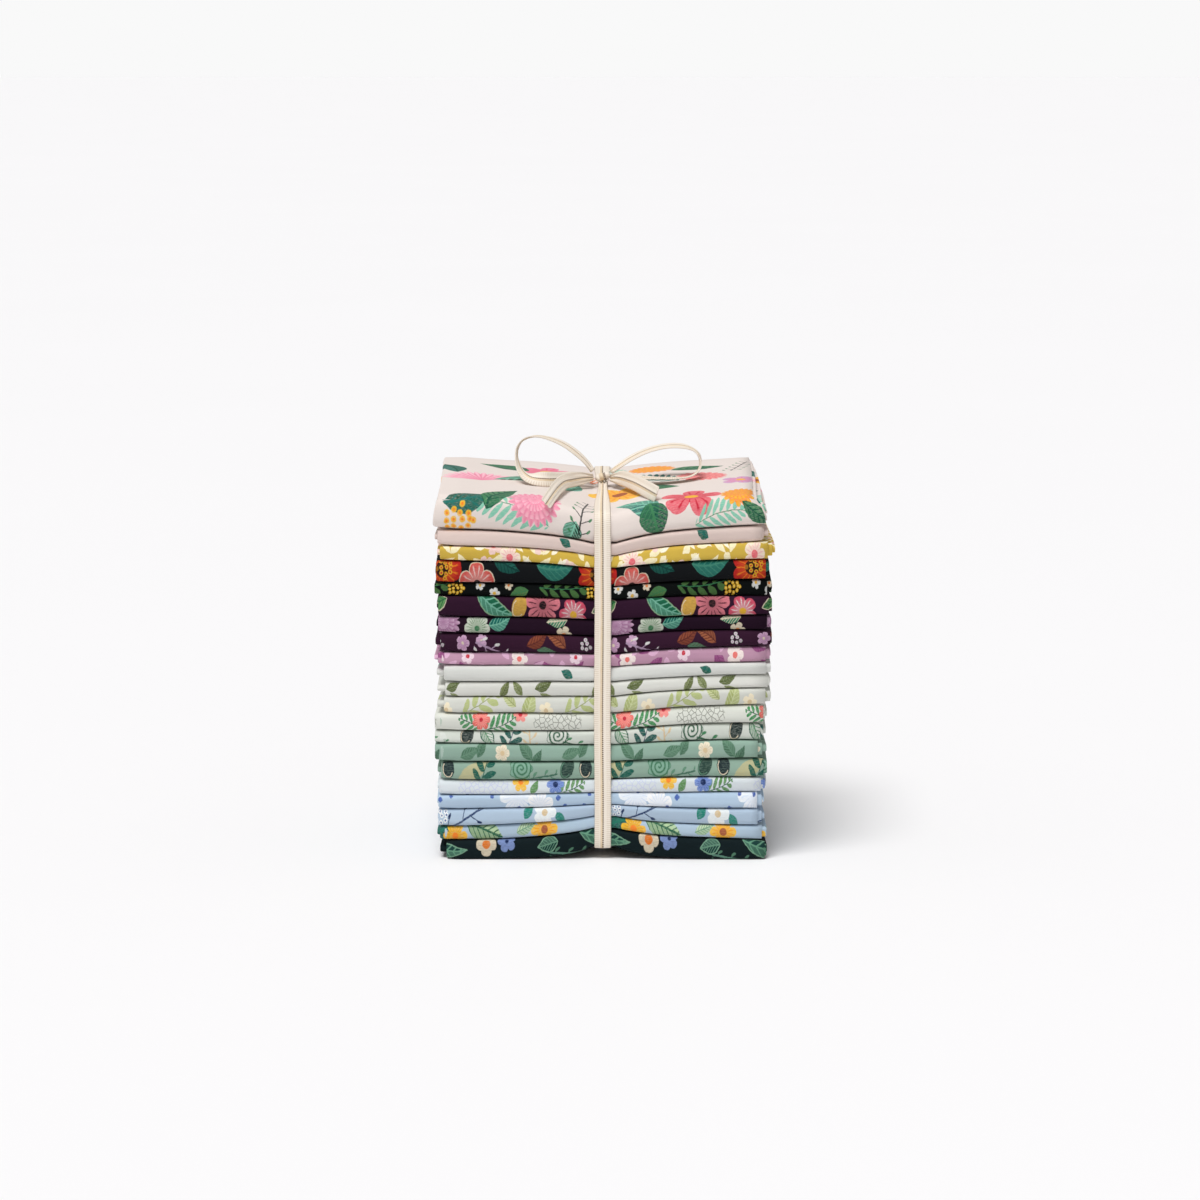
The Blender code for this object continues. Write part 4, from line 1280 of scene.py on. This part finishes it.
        blossom(-26, 0, 0, 5.8, 6, 0.45, 0.25, YELLOW, (226, 140, 44), RUST),
        leaf(-34, 1, 20, 9, 4, 0, (190, 210, 170), SAGE),
    )),
    "21_navy_pod": Print((72.0, 26.0), (
        leaf(0, 0, 350, 23, 6.0, 2, (38, 78, 72), (120, 178, 146), (140, 188, 158)),
        leaf(-25, 1, 190, 9, 5.4, 0, (40, 76, 70), (120, 170, 142), (140, 188, 158)),
        twig(-16, -3, 352, 16, 1.4, 6.0, (110, 158, 138), SAGE),
        blossom(20, 2, 0, 4.4, 4, 0.3, 0.4, CREAM, None, ORANGE),
        blossom(29, 3, 30, 4.0, 5, 0.3, 0.2, (142, 164, 218), None, NAVY),
    )),
}


def flat_place(tree, uv_map, middle=(0.0, 0.0)):
    """The place on flat cloth or tape in millimetres, from a middle."""
    source = tree.nodes.new("ShaderNodeUVMap")
    source.uv_map = uv_map
    return moved(Amount(tree, source.outputs[0]), "MULTIPLY_ADD", IN_MM, (-middle[0], -middle[1], 0.0))


def finish(name):
    """A new material, with its nodes and its surface shader."""
    material = bpy.data.materials.new(name)
    material.use_nodes = True
    return material, material.node_tree, material.node_tree.nodes["Principled BSDF"]


def printed_cotton(cut, middle):
    """Printed quilting cotton. Middle is where on the flat cut the middle of the front fold lies."""
    material, tree, shader = finish("print_" + cut.name)
    flat = flat_place(tree, "FlatCut", middle)
    soft, push = grain(flat, 0.55, 5.0, 0.66)
    stroke, _ = grain(moved(flat, "MULTIPLY", (0.7, 2.2, 1.0)), 1.0, 3.0, 0.62)
    strength = worked(tree, "MULTIPLY_ADD", stroke, 1.1, 0.38, clamp=True)
    cloth = moved(moved(push, "SUBTRACT", (0.5, 0.5, 0.5)), "MULTIPLY_ADD", (0.9, 0.9, 0.0), flat)
    colour = cut.ground
    depth = DARK_INK if max(cut.ground) < DARK_GROUND else 1.0
    design = PRINTS[cut.name]
    for row in design.motifs:
        draw, sizes, count = DRAWN[row.shape]
        near, shown = local_place(tree, cloth, row, design.repeat)
        parts = stamped(tree, stencil(row.shape, ("Near",), sizes, (), count, draw), (near, *row.sizes))
        for part, dye in zip(parts, row.inks):
            if dye is not None:
                amount = part * strength
                dye = tuple(channel * depth for channel in dye)
                colour = inked(colour, amount * shown if shown else amount, dye)
    finish_cotton(tree, shader, flat, soft, colour, cut.ground)
    return material


def finish_cotton(tree, shader, flat, soft, colour, ground):
    """The weave, a little unevenness of the dye, the paler reverse and the soft surface."""
    x, y = split(flat)[:2]
    warp = absolute(cosine(x * math.pi / THREAD_PITCH))
    weft = absolute(cosine(y * math.pi / THREAD_PITCH))
    weave = warp * weft
    slub, _ = grain(moved(flat, "MULTIPLY", (0.12, 2.4, 1.0)), 1.0, 2.0, 0.6)
    tone = 0.93 + 0.05 * weave + 0.10 * soft * slub + 0.02 * slub
    node = tree.nodes.new("ShaderNodeMix")
    node.data_type = "RGBA"
    node.blend_type = "MULTIPLY"
    node.inputs[0].default_value = 1.0
    shade = tree.nodes.new("ShaderNodeCombineColor")
    for socket in shade.inputs[:3]:
        feed(tree, socket, tone)
    if isinstance(colour, Amount):
        tree.links.new(colour.socket, node.inputs[6])
    else:
        node.inputs[6].default_value = ink(colour)
    tree.links.new(shade.outputs[0], node.inputs[7])
    reverse = tree.nodes.new("ShaderNodeAttribute")
    reverse.attribute_name = "reverse"
    pale = tuple(0.6 * g + 0.4 * 236 for g in ground)
    back = inked(Amount(tree, node.outputs[2]), Amount(tree, reverse.outputs["Fac"]) * 0.6, pale)
    tree.links.new(back.socket, shader.inputs["Base Color"])
    tree.links.new((0.90 - 0.08 * weave).socket, shader.inputs["Roughness"])
    press(tree, shader, weave + slub * 1.5, 0.35, 0.00008)
    is_pale = max(ground) > PALE_GROUND
    shader.inputs["Specular IOR Level"].default_value = 0.22 if is_pale else 0.05
    shader.inputs["Sheen Weight"].default_value = 0.05 if is_pale else 0.01


def press(tree, shader, height, strength, distance):
    """The small relief of a surface."""
    node = tree.nodes.new("ShaderNodeBump")
    node.inputs["Strength"].default_value = strength
    node.inputs["Distance"].default_value = distance
    feed(tree, node.inputs["Height"], height)
    tree.links.new(node.outputs[0], shader.inputs["Normal"])


def woven_tape():
    """Cream cotton tape with a herringbone weave, a painted shade on its left half, and a line of gold and
    brown stitching down its middle.
    """
    material, tree, shader = finish("woven_tape")
    flat = flat_place(tree, "FlatTape")
    x, y = split(flat)[:2]
    off = absolute(x)
    zigzag = absolute(fraction(off / ZIGZAG_WIDTH) - 0.5) * ZIGZAG_WIDTH
    rib = absolute(fraction((y + zigzag) / RIB_PITCH) - 0.5) * 2
    yarn = absolute(cosine(x * math.pi / YARN_PITCH))
    tick = inside(absolute(fraction(y / TICK_PITCH) - 0.5), 0.2, 0.2) * inside(1.6, off, 0.3)
    cord = inside(absolute(x + 0.5), 0.5, 0.25)
    bead = joined(x - 0.1, (fraction(y / STITCH_PITCH) - 0.5) * STITCH_PITCH)
    stitch = inside(moved(bead, "LENGTH"), 0.33, 0.12)
    soft, _ = grain(flat, 0.35, 2.0, 0.6)
    colour = inked(TAPE_DARK_YARN_AND_SHADE, (0.55 * rib + 0.45 * yarn) * 0.8, TAPE_COLOUR)
    # Painted shade: the left half of the tape is darkened towards the darker tone, standing in for the shade
    # on that side of the curved tape
    colour = inked(colour, 0.35 * inside(x, 0.0, 0.6), TAPE_DARK_YARN_AND_SHADE)
    colour = inked(colour, tick * 0.6, RIB_SHADOW)
    colour = inked(colour, cord * (0.3 + 0.6 * soft), GOLD_THREAD)
    colour = inked(colour, stitch, BROWN_THREAD)
    tree.links.new(colour.socket, shader.inputs["Base Color"])
    press(tree, shader, rib * 0.7 + yarn * 0.3 + stitch * 0.8 - tick * 0.6, 0.5, 0.00015)
    tree.links.new((0.84 - 0.10 * yarn).socket, shader.inputs["Roughness"])
    shader.inputs["Sheen Weight"].default_value = 0.08
    shader.inputs["Specular IOR Level"].default_value = 0.25
    return material


# The table, the light and the camera

def table_white():
    """Smooth white board with a faint unevenness."""
    material, tree, shader = finish("table_white")
    source = tree.nodes.new("ShaderNodeTexCoord")
    place = Amount(tree, source.outputs["Object"])
    cloud, _ = grain(place, 2.2, 3.0, 0.55)
    fine, _ = grain(place, 900.0, 2.0, 0.5)
    colour = inked(TABLE_SHADE, 0.5 + 0.5 * cloud, TABLE_COLOUR)
    tree.links.new(colour.socket, shader.inputs["Base Color"])
    tree.links.new((0.62 + 0.06 * fine).socket, shader.inputs["Roughness"])
    press(tree, shader, fine, 0.15, 0.00003)
    shader.inputs["Specular IOR Level"].default_value = 0.15
    return material


def table():
    """The wide white board that the bundle stands on."""
    bpy.ops.object.select_all(action="DESELECT")
    bpy.ops.mesh.primitive_plane_add(size=TABLE_SIZE, location=(0, 0, 0))
    board = bpy.context.object
    board.name = "table"
    board.data.materials.append(table_white())


def studio():
    """A white dome that is palest at the horizon, and one broad lamp above the front left."""
    world = bpy.data.worlds.new("studio")
    bpy.context.scene.world = world
    world.use_nodes = True
    tree = world.node_tree
    sky = tree.nodes["Background"]
    source = tree.nodes.new("ShaderNodeTexCoord")
    height = split(Amount(tree, source.outputs["Generated"]))[2]
    colour = inked((DOME_LOW,) * 3, inside(0.08, height, 0.10), (DOME_HIGH,) * 3)
    tree.links.new(colour.socket, sky.inputs["Color"])
    lamp = bpy.data.lights.new("key_lamp", "SUN")
    lamp.energy = KEY_STRENGTH
    lamp.angle = KEY_WIDTH
    key = bpy.data.objects.new("key_lamp", lamp)
    bpy.context.scene.collection.objects.link(key)
    key.rotation_euler = Vector(KEY_DIRECTION).to_track_quat("-Z", "Y").to_euler()


def camera():
    """A long lens in front of the bundle, a little above it."""
    lens = bpy.data.cameras.new("camera")
    lens.lens = CAMERA_LENS
    lens.sensor_width = 36.0
    eye = bpy.data.objects.new("camera", lens)
    bpy.context.scene.collection.objects.link(eye)
    eye.location = (
        CAMERA_X,
        CAMERA_AIM_Y - CAMERA_DISTANCE * math.cos(CAMERA_PITCH),
        CAMERA_AIM_Z + CAMERA_DISTANCE * math.sin(CAMERA_PITCH),
    )
    eye.rotation_euler = (math.pi / 2 - CAMERA_PITCH, 0.0, 0.0)
    bpy.context.scene.camera = eye


def build():
    """The whole picture: camera, light and table, then the tape, then the cuts from the lowest up."""
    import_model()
    bpy.context.scene.view_settings.view_transform = "Standard"
    camera()
    studio()
    table()
    tape = woven_tape()
    lengths = (
        (tape_round_stack("tape_round_stack"), "tape_band"),
        (tape_knot("bow_knot"), "tape_knot"),
        (tape_length("bow_loop_left", LEFT_LOOP), "tape_loop_left"),
        (tape_length("bow_loop_right", RIGHT_LOOP), "tape_loop_right"),
        (tape_length("bow_tail_left", LEFT_TAIL), "tape_tail_left"),
        (tape_length("bow_tail_right", RIGHT_TAIL), "tape_tail_right"),
    )
    for piece, node in lengths:
        piece.data.materials.append(tape)
        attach(piece, "root")
        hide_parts(node)
    for index in range(LOWEST, -1, -1):
        cut = CUTS[index]
        points, flat = folded_sheet(index)
        piece = cloth_mesh("folded_" + cut.name, points, flat, CLOTH_THICKNESS)
        piece.data.materials.append(printed_cotton(cut, front_middle(index, flat)))
        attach(piece, "root")
        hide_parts("fat_quarter_" + cut.name)


build()
